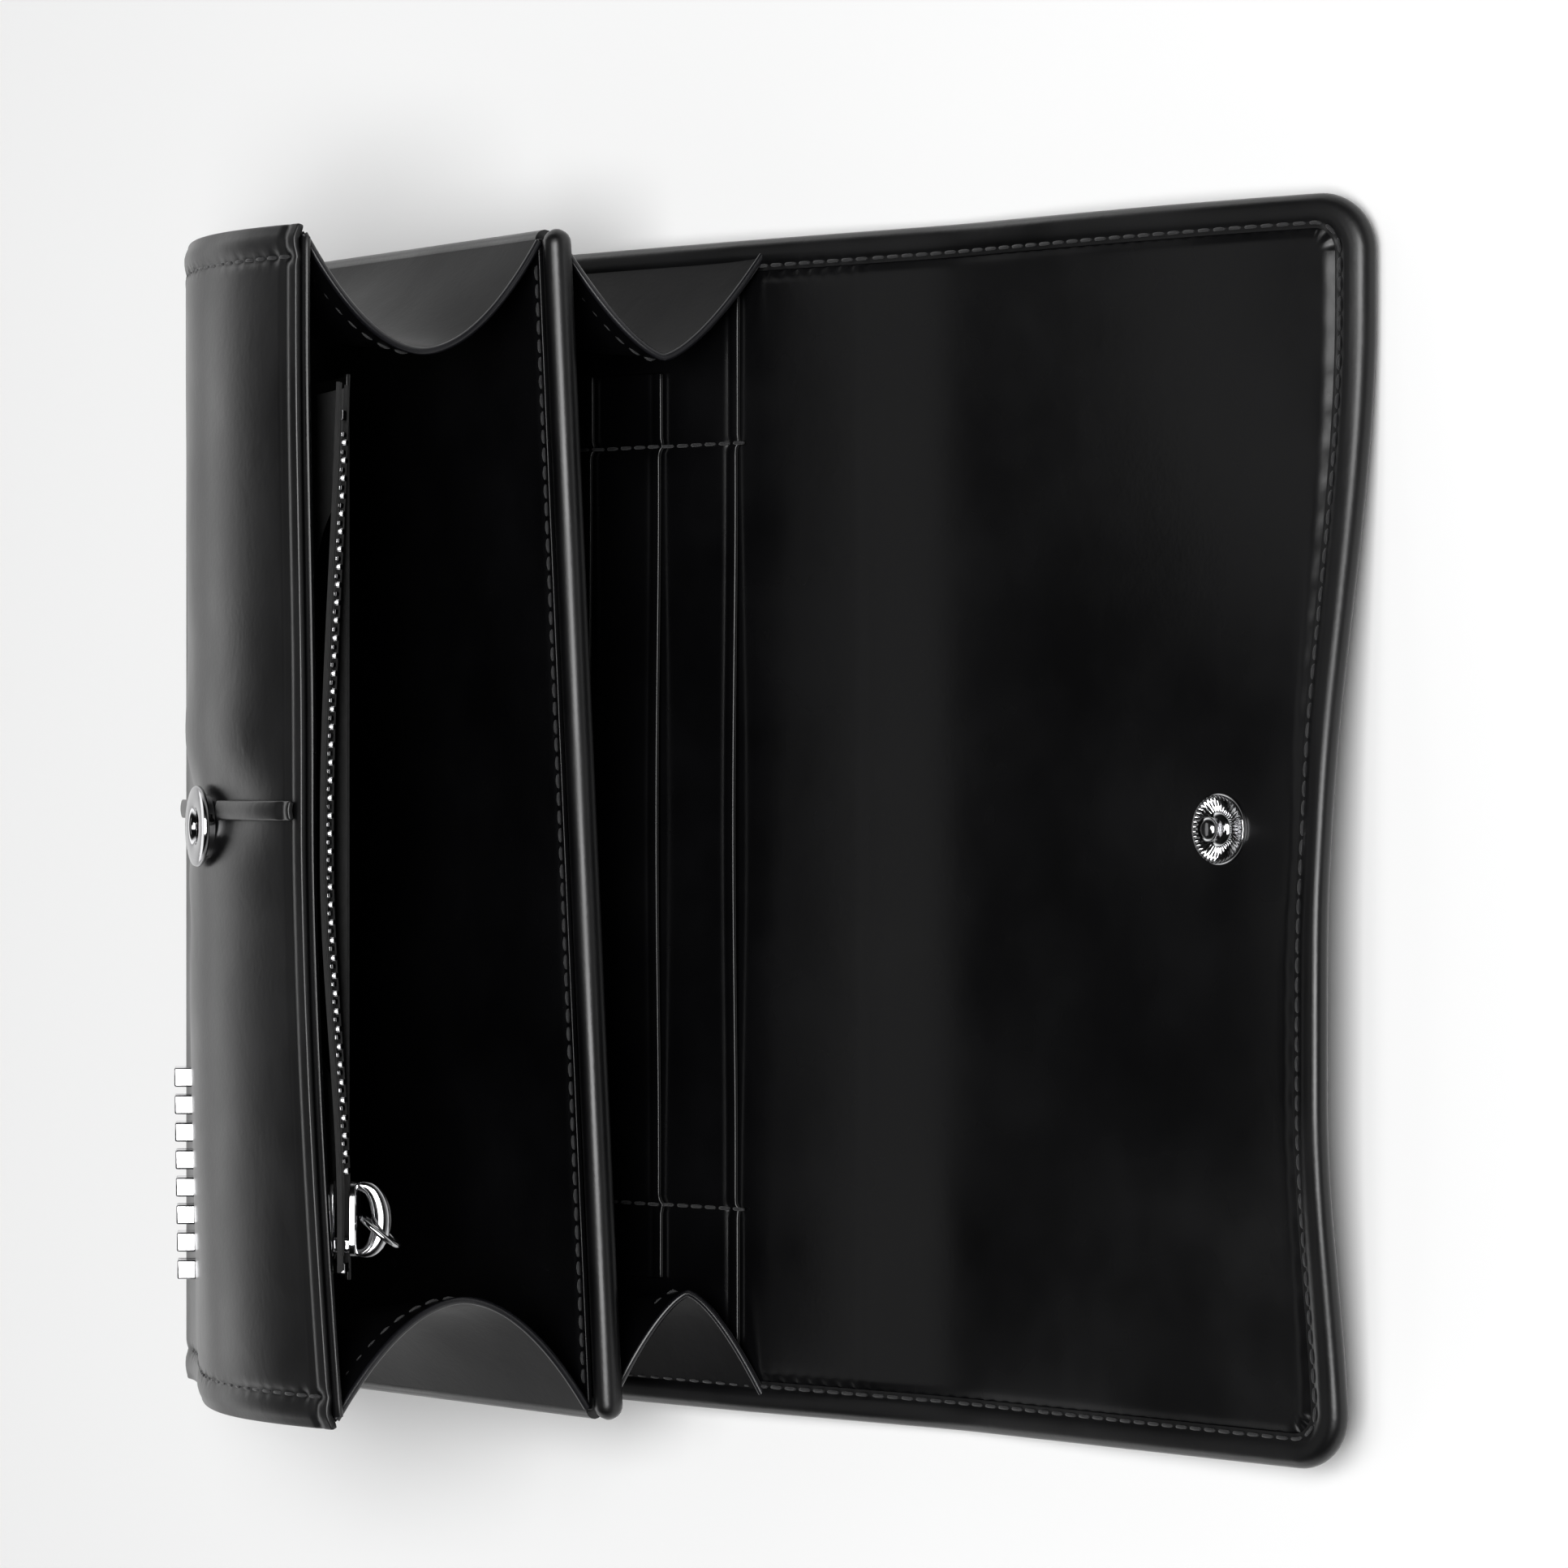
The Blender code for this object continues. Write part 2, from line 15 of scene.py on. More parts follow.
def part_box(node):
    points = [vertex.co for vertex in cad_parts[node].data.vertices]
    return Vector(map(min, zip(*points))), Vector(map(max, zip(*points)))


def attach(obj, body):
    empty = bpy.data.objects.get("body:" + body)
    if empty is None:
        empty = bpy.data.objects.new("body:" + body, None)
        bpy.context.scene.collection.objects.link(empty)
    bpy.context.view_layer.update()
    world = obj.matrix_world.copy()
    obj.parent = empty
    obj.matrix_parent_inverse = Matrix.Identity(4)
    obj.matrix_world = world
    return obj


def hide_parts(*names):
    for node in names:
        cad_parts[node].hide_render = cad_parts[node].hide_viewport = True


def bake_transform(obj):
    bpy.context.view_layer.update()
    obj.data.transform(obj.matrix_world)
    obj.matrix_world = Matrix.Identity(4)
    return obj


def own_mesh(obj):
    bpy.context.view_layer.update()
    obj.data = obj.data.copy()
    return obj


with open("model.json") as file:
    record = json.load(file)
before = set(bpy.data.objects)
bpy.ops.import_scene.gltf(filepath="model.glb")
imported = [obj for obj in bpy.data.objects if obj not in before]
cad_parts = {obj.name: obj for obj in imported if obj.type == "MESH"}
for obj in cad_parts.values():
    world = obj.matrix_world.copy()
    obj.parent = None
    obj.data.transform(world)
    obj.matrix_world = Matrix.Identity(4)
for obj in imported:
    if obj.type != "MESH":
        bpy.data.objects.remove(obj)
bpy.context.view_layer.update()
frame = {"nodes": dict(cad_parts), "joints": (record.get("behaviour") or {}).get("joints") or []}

MM = 0.001
JOINTS = {joint["name"]: joint for joint in frame["joints"]}
NODES = frame["nodes"]


def hinge(name):
    """A joint's place in millimetres, as (y, z)."""
    place = JOINTS[name]["pos_m"]
    return place[1] / MM, place[2] / MM


def low(node):
    return [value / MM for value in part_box(node)[0]]


def high(node):
    return [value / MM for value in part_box(node)[1]]


HALF = high("back_shell")[0]
BASE_Y, BASE_TOP = hinge("front_hinge")
FOLD_Y, LINING_Z = hinge("fold_hinge")
FLAP_Y = hinge("flap_hinge")[0]
STRIP = FLAP_Y - FOLD_Y
FRONT_OPEN = 28.5  # rest angles in degrees, as in the CAD
DIVIDER_OPEN = 8.0
FLAP_OPEN = 5.0
FRONT_LENGTH = 86.0
FRONT_BULGE = 10.0
BULGE_POWER = 1.5
FLAP_LENGTH = 80.0
FLAP_CORNER = 9.0
STUD_ALONG = 57.3
SOCKET_ALONG = 58.0
DIVIDER_LENGTH = 92.0
ROLL_RADIUS = 2.3
STACK = LINING_Z  # thickness of outer leather, board and lining together
STITCH_PITCH = 2.9
SHELL_THICK = 1.1
LINING_THICK = 0.8
BOARD_THICK = 0.7


# ---------------------------------------------------------------- shapes

def smooth(value, start, end):
    """0 before start, 1 after end, and a soft step between them."""
    t = min(max((value - start) / (end - start), 0.0), 1.0)
    return t * t * (3 - 2 * t)


def steps(start, end, count):
    return [start + (end - start) * i / count for i in range(count + 1)]


def panel(root, degrees_up):
    """A function from a panel's own (x, along, height) to the row frame, in millimetres."""
    a = radians(degrees_up)

    def place(x, along, height):
        y = root[0] + along * cos(a) - height * sin(a)
        z = root[1] + along * sin(a) + height * cos(a)
        return Vector((x, y, z))

    return place


on_front = panel(hinge("front_hinge"), FRONT_OPEN)
on_divider = panel(hinge("divider_hinge"), DIVIDER_OPEN)
on_flap = panel(hinge("flap_hinge"), FLAP_OPEN)


def linked(obj):
    bpy.context.scene.collection.objects.link(obj)
    return obj


def mesh_object(name, bm, material):
    """Turns a finished bmesh into an object of the scene."""
    mesh = bpy.data.meshes.new(name)
    bm.to_mesh(mesh)
    bm.free()
    mesh.materials.append(material)
    return linked(bpy.data.objects.new(name, mesh))


def add_mesh(name, bm, material, crease=35.0):
    """A smooth object, sharp where its faces meet at more than crease degrees."""
    bmesh.ops.recalc_face_normals(bm, faces=bm.faces)
    obj = mesh_object(name, bm, material)
    obj.data.shade_smooth()
    obj.data.set_sharp_from_angle(angle=radians(crease))
    return obj


def skin(bm, rows, closed=False):
    """Joins each row of vertices to the next; closed also joins each row's last vertex to its first."""
    for one, two in zip(rows, rows[1:]):
        for i in range(len(one) if closed else len(one) - 1):
            n = (i + 1) % len(one)
            bm.faces.new((one[i], one[n], two[n], two[i]))


def applied(obj):
    """Applies an object's modifiers to its mesh."""
    bpy.context.view_layer.update()
    graph = bpy.context.evaluated_depsgraph_get()
    mesh = bpy.data.meshes.new_from_object(obj.evaluated_get(graph))
    obj.modifiers.clear()
    obj.data = mesh
    mesh.name = obj.name
    return obj


def round_edges(obj, width, segments=2):
    bevel = obj.modifiers.new("edges", "BEVEL")
    bevel.width = width * MM
    bevel.segments = segments
    return applied(obj)


def leather(name, material, columns, rows, surface, thickness, edge=0.35):
    """A sheet of leather through surface(u, v), which is its upper face; its rim is rounded."""
    bm = bmesh.new()
    skin(bm, [[bm.verts.new(surface(u, v) * MM) for u in columns] for v in rows])
    bm.normal_update()
    if sum(face.normal.z for face in bm.faces) < 0:
        bmesh.ops.reverse_faces(bm, faces=bm.faces)
    obj = mesh_object(name, bm, material)
    solid = obj.modifiers.new("thickness", "SOLIDIFY")
    solid.thickness = thickness * MM
    solid.offset = -1.0
    bevel = obj.modifiers.new("rim", "BEVEL")
    bevel.width = edge * MM
    bevel.segments = 3
    bevel.limit_method = "ANGLE"
    bevel.angle_limit = radians(50)
    applied(obj)
    obj.data.shade_smooth()
    return obj


def tube(bm, points, radius_at, sides=10, closed=False, flat=1.0, up=(0, 0, 1)):
    """Sweeps a round or flattened section along points in millimetres."""
    rings = []
    count = len(points)
    for i, point in enumerate(points):
        before = points[i - 1] if i or closed else point
        after = points[(i + 1) % count] if i < count - 1 or closed else point
        ahead = (Vector(after) - Vector(before)).normalized()
        across = ahead.cross(Vector(up)).normalized()
        normal = across.cross(ahead).normalized()
        radius = radius_at(i / max(count - 1, 1))
        ring = []
        for k in range(sides):
            a = 2 * pi * k / sides
            offset = across * radius * cos(a) + normal * radius * flat * sin(a)
            ring.append(bm.verts.new((Vector(point) + offset) * MM))
        rings.append(ring)
    skin(bm, rings + rings[:1] if closed else rings, closed=True)
    if not closed:
        bm.faces.new(reversed(rings[0]))
        bm.faces.new(rings[-1])


def thread_row(name, material, path, body=None, pitch=STITCH_PITCH, gap=0.7, radius=0.3, up=(0, 0, 1)):
    """Stitches along path, a list of points on the leather: each one dives into its holes."""
    bm = bmesh.new()
    lengths = [0.0]
    for one, two in zip(path, path[1:]):
        lengths.append(lengths[-1] + (two - one).length)
    total = lengths[-1]
    count = max(int(total / pitch), 1)

    def at(distance):
        for i in range(len(path) - 1):
            if distance <= lengths[i + 1] or i == len(path) - 2:
                share = (distance - lengths[i]) / max(lengths[i + 1] - lengths[i], 1e-6)
                return path[i].lerp(path[i + 1], share)

    lift = Vector(up).normalized()
    for number in range(count):
        start = (number + 0.5) * total / count - (pitch - gap) / 2
        stitch = []
        for share in (0.0, 0.1, 0.3, 0.5, 0.7, 0.9, 1.0):
            rise = radius * (0.85 * sin(pi * share) ** 0.6) - 0.28
            stitch.append(at(min(max(start + share * (pitch - gap), 0), total)) + lift * rise)
        tube(bm, stitch, lambda s: radius * (0.55 + 0.45 * sin(pi * s) ** 0.5), 7, up=up)
    obj = add_mesh(name, bm, material, 80)
    if body:
        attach(obj, body)
    return obj


def box_bm(bm, size, centre, turn=None):
    matrix = Matrix.Translation(Vector(centre) * MM)
    if turn:
        matrix = matrix @ turn.to_4x4()
    matrix = matrix @ Matrix.Diagonal((*[s * MM for s in size], 1.0))
    return bmesh.ops.create_cube(bm, size=1.0, matrix=matrix)["verts"]


def lathe(name, material, profile, place, normal, steps_round=64, ribs=None):
    """Turns (radius, height) points about the normal at place; ribs = (count, first, last, depth)."""
    bm = bmesh.new()
    turn = Vector(normal).to_track_quat("Z", "Y").to_matrix()
    rings = []
    for index, (radius, height) in enumerate(profile):
        ring = []
        for k in range(steps_round):
            a = 2 * pi * k / steps_round
            lift = height
            if ribs and ribs[1] <= index <= ribs[2]:
                lift += ribs[3] * cos(ribs[0] * a)
            local = Vector((radius * cos(a), radius * sin(a), lift))
            ring.append(bm.verts.new((Vector(place) + turn @ local) * MM))
        rings.append(ring)
    skin(bm, rings + rings[:1], closed=True)
    bmesh.ops.remove_doubles(bm, verts=bm.verts, dist=1e-7)
    return add_mesh(name, bm, material, 40)


# ---------------------------------------------------------------- materials

def new_material(name):
    material = bpy.data.materials.new(name)
    material.use_nodes = True
    nodes = material.node_tree.nodes
    return material, nodes, material.node_tree.links, nodes["Principled BSDF"]


def texture(nodes, links, kind, scale, coords, **settings):
    node = nodes.new(kind)
    for key, value in settings.items():
        if key in node.inputs:
            node.inputs[key].default_value = value
        else:
            setattr(node, key, value)
    node.inputs["Scale"].default_value = scale
    links.new(coords, node.inputs["Vector"])
    return node


def mapped(nodes, links, source, low_out, high_out, low_in=0.0, high_in=1.0):
    node = nodes.new("ShaderNodeMapRange")
    node.inputs["From Min"].default_value = low_in
    node.inputs["From Max"].default_value = high_in
    node.inputs["To Min"].default_value = low_out
    node.inputs["To Max"].default_value = high_out
    links.new(source, node.inputs["Value"])
    return node.outputs["Result"]


def bumps(nodes, links, layers, shader):
    """Chains bump nodes: layers are (height, strength, distance in mm)."""
    normal = None
    for height, strength, distance in layers:
        bump = nodes.new("ShaderNodeBump")
        bump.inputs["Strength"].default_value = strength
        bump.inputs["Distance"].default_value = distance * MM
        links.new(height, bump.inputs["Height"])
        if normal:
            links.new(normal, bump.inputs["Normal"])
        normal = bump.outputs["Normal"]
    links.new(normal, shader.inputs["Normal"])


def two_tone(nodes, links, factor, dark, light, shader):
    ramp = nodes.new("ShaderNodeValToRGB")
    ramp.color_ramp.elements[0].color = (*dark, 1)
    ramp.color_ramp.elements[1].color = (*light, 1)
    ramp.color_ramp.elements[0].position = 0.3
    ramp.color_ramp.elements[1].position = 0.75
    links.new(factor, ramp.inputs["Fac"])
    links.new(ramp.outputs["Color"], shader.inputs["Base Color"])


def leather_material(name, dark, light, rough, grain=0.10, creases=0.12, coat=0.0, gloss=0.5):
    """Smooth finished leather: pebble grain, pores, soft creases and a slightly uneven gloss."""
    material, nodes, links, shader = new_material(name)
    coords = nodes.new("ShaderNodeTexCoord").outputs["Object"]
    pebble = texture(nodes, links, "ShaderNodeTexVoronoi", 1400, coords, feature="SMOOTH_F1")
    pores = texture(nodes, links, "ShaderNodeTexNoise", 3200, coords, Detail=3.0)
    crease = texture(nodes, links, "ShaderNodeTexNoise", 130, coords, Detail=5.0, Distortion=0.6)
    patch = texture(nodes, links, "ShaderNodeTexNoise", 38, coords, Detail=3.0)
    two_tone(nodes, links, patch.outputs["Fac"], dark, light, shader)
    links.new(mapped(nodes, links, patch.outputs["Fac"], rough - 0.05, rough + 0.07, 0.3, 0.7),
              shader.inputs["Roughness"])
    shader.inputs["Specular IOR Level"].default_value = gloss
    shader.inputs["Coat Weight"].default_value = coat
    shader.inputs["Coat Roughness"].default_value = 0.22
    bumps(nodes, links, [
        (crease.outputs["Fac"], creases, 0.5),
        (pebble.outputs["Distance"], grain, 0.12),
        (pores.outputs["Fac"], grain * 0.7, 0.05),
    ], shader)
    return material


def metal_material(name, colour, rough):
    """Polished plated metal with faint scratches and handling marks."""
    material, nodes, links, shader = new_material(name)
    coords = nodes.new("ShaderNodeTexCoord").outputs["Object"]
    haze = texture(nodes, links, "ShaderNodeTexNoise", 420, coords, Detail=4.0)
    scratch = texture(nodes, links, "ShaderNodeTexNoise", 2600, coords, Detail=2.0, Distortion=2.0)
    shader.inputs["Metallic"].default_value = 1.0
    two_tone(nodes, links, haze.outputs["Fac"], [c * 0.9 for c in colour], colour, shader)
    links.new(mapped(nodes, links, haze.outputs["Fac"], rough * 0.7, rough * 1.7, 0.3, 0.7),
              shader.inputs["Roughness"])
    bumps(nodes, links, [(scratch.outputs["Fac"], 0.06, 0.03)], shader)
    return material


def woven_material(name, dark, light, threads, rough):
    """A plain weave from two crossed waves, with uneven yarns."""
    material, nodes, links, shader = new_material(name)
    coords = nodes.new("ShaderNodeTexCoord").outputs["Object"]
    warp = texture(nodes, links, "ShaderNodeTexWave", threads, coords, bands_direction="X")
    weft = texture(nodes, links, "ShaderNodeTexWave", threads, coords, bands_direction="Y")
    yarn = texture(nodes, links, "ShaderNodeTexNoise", 900, coords, Detail=4.0)
    both = nodes.new("ShaderNodeMath")
    both.operation = "MULTIPLY"
    links.new(warp.outputs["Fac"], both.inputs[0])
    links.new(weft.outputs["Fac"], both.inputs[1])
    two_tone(nodes, links, yarn.outputs["Fac"], dark, light, shader)
    shader.inputs["Roughness"].default_value = rough
    shader.inputs["Sheen Weight"].default_value = 0.15
    bumps(nodes, links, [(both.outputs[0], 0.4, 0.2), (yarn.outputs["Fac"], 0.2, 0.08)], shader)
    return material


def board_material(name):
    """Pressed grey board with flecks."""
    material, nodes, links, shader = new_material(name)
    coords = nodes.new("ShaderNodeTexCoord").outputs["Object"]
    fleck = texture(nodes, links, "ShaderNodeTexNoise", 700, coords, Detail=6.0)
    two_tone(nodes, links, fleck.outputs["Fac"], (0.16, 0.15, 0.13), (0.34, 0.32, 0.28), shader)
    shader.inputs["Roughness"].default_value = 0.85
    bumps(nodes, links, [(fleck.outputs["Fac"], 0.3, 0.1)], shader)
    return material


BLACK = (0.0011, 0.0011, 0.0013)
BLACK_LIGHT = (0.0024, 0.0024, 0.0028)
OUTER = leather_material("outer_leather", BLACK, BLACK_LIGHT, 0.33, coat=0.05)
INNER = leather_material("lining_leather", BLACK, BLACK_LIGHT, 0.25, grain=0.05, creases=0.05)
GUSSET = leather_material("gusset_leather", BLACK, BLACK_LIGHT, 0.36, grain=0.08, gloss=0.08)
EDGE = leather_material("painted_edge", (0.003, 0.003, 0.004), (0.008, 0.008, 0.010), 0.28, grain=0.03)
THREAD = woven_material("sewing_thread", (0.004, 0.004, 0.005), (0.012, 0.012, 0.013), 2600, 0.45)
CLOTH = woven_material("pocket_cloth", (0.004, 0.004, 0.004), (0.010, 0.010, 0.011), 1800, 0.85)
TAPE = woven_material("zip_tape", (0.003, 0.003, 0.003), (0.008, 0.008, 0.008), 2200, 0.8)
BOARD = board_material("grey_board")
METAL = metal_material("polished_nickel", (0.50, 0.50, 0.51), 0.09)

KEPT_FINISHES = {"board": BOARD, "bag": CLOTH, "interlining": CLOTH}  # other CAD nodes that stay are metal


# ---------------------------------------------------------------- surfaces of the leather

def front_rise(along):
    share = min(max(along / FRONT_LENGTH, 0.0), 1.0)
    return FRONT_BULGE * sin(pi * share ** BULGE_POWER)


STRAP_X = -2.6
OPEN_END = 62.0  # where the zip slider stands at rest
END_STITCH = 5.2  # from the front panel's end to its row of stitches


def front_camber(x):
    """How far the front panel's rim stands above its chord: the hidden end is held up, the other sags."""
    if x < 0:
        return 2.6 + 0.9 * smooth(-x, 10, 80)
    return 2.6 - 4.6 * (x / HALF) ** 1.6


def front_shape(x, along):
    """Height of the front leather: its bulge, sag at the ends, pinch at the strap and sewn ends."""
    share = min(max(along / FRONT_LENGTH, 0.0), 1.0)
    height = front_rise(along)
    height += share * front_camber(x)
    pinch = exp(-((x - STRAP_X) / 6.5) ** 2) * (1 - smooth(along, 64, 83))
    height -= 1.5 * pinch * smooth(along, 4, 26)
    height += (0.5 * exp(-((x + 15) / 7.0) ** 2) - 0.35 * exp(-((x - 16) / 6.0) ** 2)) * sin(pi * share)
    near_socket = sqrt(x * x + (along - SOCKET_ALONG) ** 2)
    height += 1.1 * pinch * exp(-(near_socket / 9.0) ** 2)
    end = HALF - abs(x)
    groove = exp(-((end - END_STITCH) / 0.8) ** 2)
    height -= groove * (0.45 + 0.22 * cos(2 * pi * along / STITCH_PITCH))
    height += 0.25 * exp(-((end - 2.6) / 1.6) ** 2)
    height -= 0.5 * smooth(2.2 - end, 0, 2.2)
    rim = FRONT_LENGTH - along
    height -= 0.4 * exp(-((rim - 2.5) / 0.55) ** 2)
    return height


def front_surface(x, along):
    return on_front(x, along, front_shape(x, along))


# ---------------------------------------------------------------- placing pieces

def place(obj, slot, body=None, across=None, replaces=()):
    """Attaches the piece to its body, or bakes its transform where it lies when across is given, and hides
    the CAD nodes it stands for. slot is not used.
    """
    if across:
        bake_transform(obj)
    else:
        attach(obj, body)
    if replaces:
        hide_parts(*replaces)
    return obj


BEND = 5.0  # half length of a living fold


def hinge_bend(name, a, b):
    """The two bodies of a fold and the two points between which the leather turns."""
    y, z = hinge(name)
    return a, b, (0, (y - BEND) * MM, z * MM), (0, (y + BEND) * MM, z * MM)


AT_FOLD = hinge_bend("fold_hinge", "back_panel", "fold_strip")
AT_FLAP = hinge_bend("flap_hinge", "fold_strip", "flap")
AT_FRONT = ("back_panel", "front_panel",
            (0, BASE_Y * MM, (BASE_TOP - 5) * MM), (0, BASE_Y * MM, (BASE_TOP + 4) * MM))


# ---------------------------------------------------------------- front panel

WALL_SEAM = 15.0  # height of the seam on the bottom wall
WRAP = BASE_TOP - WALL_SEAM


def front_skin(x, along):
    """The front leather, which also runs down the bottom wall where along is below zero."""
    share = smooth(along, -3.5, 3.5)
    wall = Vector((x, BASE_Y - 1.4, BASE_TOP - 0.6 + min(along, 0.0)))
    if share == 0:
        return wall
    return wall.lerp(front_surface(x, max(along, 0.0)), share)


def make_front_leather():
    end = steps(HALF - 12, HALF, 16)
    columns = [-x for x in reversed(end)] + steps(-HALF + 13, -20, 34) + steps(-18.8, 18.8, 34)
    columns += steps(20, HALF - 13, 34) + end
    rows = steps(-WRAP, -5, 8) + steps(-4, 8, 14) + steps(9, FRONT_LENGTH - 6, 62)
    rows += steps(FRONT_LENGTH - 5.6, FRONT_LENGTH, 14)
    obj = leather("front_leather", OUTER, columns, rows, front_skin, 1.25, 0.45)
    place(obj, "outer_leather", across=AT_FRONT, replaces=["front_shell"])
    for word, side in (("left", -1), ("right", 1)):
        path = [front_surface(side * (HALF - END_STITCH), s) + Vector((0, 0, 0.1)) for s in steps(3, 84, 60)]
        thread_row(f"front_end_stitches_{word}", THREAD, path, "front_panel", up=(0, -0.3, 0.95))


def make_front_strap():
    """The narrow strap beside the snap, in two lengths, lying on the pinched leather."""
    for word, start, end in (("lower", 1.5, SOCKET_ALONG - 6.8), ("upper", SOCKET_ALONG + 6.8, 85.2)):
        def surface(x, along, start=start, end=end):
            crown = 0.35 * (1 - ((x - STRAP_X) / 1.7) ** 2)
            return on_front(x, along, front_shape(STRAP_X, along) + 1.15 + crown)
        columns = [STRAP_X + x for x in steps(-1.65, 1.65, 8)]
        obj = leather(f"strap_{word}", OUTER, columns, steps(start, end, 40), surface, 1.0, 0.3)
        place(obj, "outer_leather", "front_panel", replaces=[f"front_strap_{word}"])


# (along, height) round the folded leather edge of the pocket.
RIM_SECTION = (
    (74.0, -1.5), (78.0, -1.5), (82.0, -1.55), (84.0, -1.55), (85.2, -1.6), (86.1, -1.65), (86.6, -1.9),
    (86.85, -2.3), (86.7, -2.7), (86.2, -2.95), (85.2, -3.0), (84.2, -2.9),
)


def make_front_board():
    """The front's board, following the leather above it."""
    def surface(x, along):
        return on_front(x, along, front_shape(x * 0.9, along) - 1.75)
    columns, rows = steps(-HALF + 6, HALF - 6, 60), steps(6, 76, 40)
    obj = leather("front_board_shaped", BOARD, columns, rows, surface, BOARD_THICK, 0.1)
    place(obj, "board", "front_panel", replaces=["front_board"])


def make_rim():
    """The pocket's leather edge, folded round the outer zip tape under the front panel's rim."""
    def surface(x, index):
        along, height = RIM_SECTION[int(index)]
        return on_front(x, along, height + front_camber(x) + front_rise(min(along, 84.0)) * 0.6)
    columns = steps(-HALF + 2.2, HALF - 2.2, 90)
    obj = leather("rim_facing", INNER, columns, range(len(RIM_SECTION)), surface, 0.7, 0.15)
    place(obj, "lining_leather", "front_panel", replaces=["front_facing"])


# ---------------------------------------------------------------- back, strip and flap

BORDER_STITCH = 4.5  # from the edge to the stitches
TUCK = 5.6  # from the edge to the line where the lining is drawn down
LINING_INSETS = (4.4, 4.8, 5.2, TUCK, 6.0, 6.4, 6.9, 7.6, FLAP_CORNER)
# (inset from the edge, height) over the rolled border and back underneath it.
BORDER_SECTION = [(1.9 - 1.9 * cos(a), -1.9 + 1.9 * sin(a)) for a in steps(0, pi / 2, 7)]
BORDER_SECTION += [
    (2.5, 0.1), (3.2, 0.08), (3.8, -0.08), (4.2, -0.3), (4.5, -0.42), (4.9, -0.28), (5.3, -0.3),
]
UNDER_SECTION = [(1.9 - 1.9 * cos(a), -STACK + 1.9 - 1.9 * sin(a)) for a in steps(0, pi / 2, 7)][1:]


def pucker(distance):
    """Leather drawn down at each stitch hole."""
    return 0.10 * cos(2 * pi * distance / STITCH_PITCH)


def lining_drop(edge):
    """The lining dives under the border at its stitch line."""
    return -0.05 - 0.6 * (1 - smooth(edge, 4.4, 7.4))


def bowed(x, s):
    """The flap lies down at its hidden end and springs up past its middle, flat around the stud."""
    share = min(max(s / FLAP_LENGTH, 0.0), 1.0)
    flat = 1 - 0.85 * exp(-(x * x + (s - STUD_ALONG) ** 2) / 200)
    return flat * share ** 2.6 * (-6.6 + 11.0 * smooth(x, -78, 15) - 5.0 * smooth(x, 40, HALF))


def on_lid(x, s, height):
    """Strip and flap: s is measured from the flap's hinge, negative on the strip."""
    turn = min(max((s + 8) / 16, 0.0), 1.0)
    tilt = radians(FLAP_OPEN) * turn
    if s <= -8:
        y, z = FLAP_Y + s, LINING_Z
    elif s < 8:
        y, z = FLAP_Y + s, LINING_Z + sin(radians(FLAP_OPEN)) * (s + 8) ** 2 / 32
    else:
        y, z = FLAP_Y + s * cos(tilt), LINING_Z + s * sin(tilt)
    lift = height + bowed(x, s)
    if height > -1.5:
        lift += back_lift(y)
    return Vector((x, y - lift * sin(tilt), z + lift * cos(tilt)))


LID_START = -STRIP / 2
SIDE_STEPS = 60
FREE_STEPS = 86
CORNER_STEPS = 12


def outline(inset):
    """The lid's outline from the strip's middle round both corners, as (x, s), inset from the edge."""
    right = HALF - inset
    free = FLAP_LENGTH - inset
    radius = max(FLAP_CORNER - inset, 0.0)
    points = [(right, s) for s in steps(LID_START, free - radius, SIDE_STEPS)]
    for a in steps(0, pi / 2, CORNER_STEPS)[1:]:
        points.append((right - radius + radius * cos(a), free - radius + radius * sin(a)))
    points += [(x, free) for x in steps(right - radius, -right + radius, FREE_STEPS)[1:]]
    for a in steps(pi / 2, pi, CORNER_STEPS)[1:]:
        points.append((-right + radius + radius * cos(a), free - radius + radius * sin(a)))
    points += [(-right, s) for s in steps(free - radius, LID_START, SIDE_STEPS)[1:]]
    return points


def outline_lengths():
    points = outline(BORDER_STITCH)
    total = [0.0]
    for one, two in zip(points, points[1:]):
        total.append(total[-1] + sqrt((one[0] - two[0]) ** 2 + (one[1] - two[1]) ** 2))
    return total


def lid_grid(bm, height):
    """Fills inside the corner radius with a grid that meets the outline's points."""
    inner = HALF - FLAP_CORNER
    rows = steps(LID_START, FLAP_LENGTH - FLAP_CORNER, SIDE_STEPS)
    columns = steps(inner, -inner, FREE_STEPS)
    skin(bm, [[bm.verts.new(on_lid(x, s, height(x, s)) * MM) for x in columns] for s in rows])


def lid_rings(bm, section):
    """Joins one ring of points to the next: section gives (inset, height at a place on the outline)."""
    rings = []
    for inset, height in section:
        points = outline(inset)
        rings.append([bm.verts.new(on_lid(x, s, height(i)) * MM) for i, (x, s) in enumerate(points)])
    skin(bm, rings)


def thicken(obj, thickness):
    solid = obj.modifiers.new("thickness", "SOLIDIFY")
    solid.thickness = thickness * MM
    solid.offset = -1.0
    applied(obj)
    obj.data.shade_smooth()
    obj.data.set_sharp_from_angle(angle=radians(50))


def outward(bm, toward):
    """Turns the open surface's faces so that those nearest toward look that way."""
    bmesh.ops.remove_doubles(bm, verts=bm.verts, dist=1e-7)
    bmesh.ops.recalc_face_normals(bm, faces=bm.faces)
    face = max(bm.faces, key=lambda f: f.calc_center_median().dot(Vector(toward)))
    if face.normal.dot(Vector(toward)) < 0:
        bmesh.ops.reverse_faces(bm, faces=bm.faces)


def surface_object(name, bm, material, thickness, toward):
    """An open surface thickened inward, its outer side facing toward."""
    outward(bm, toward)
    obj = mesh_object(name, bm, material)
    thicken(obj, thickness)
    return obj


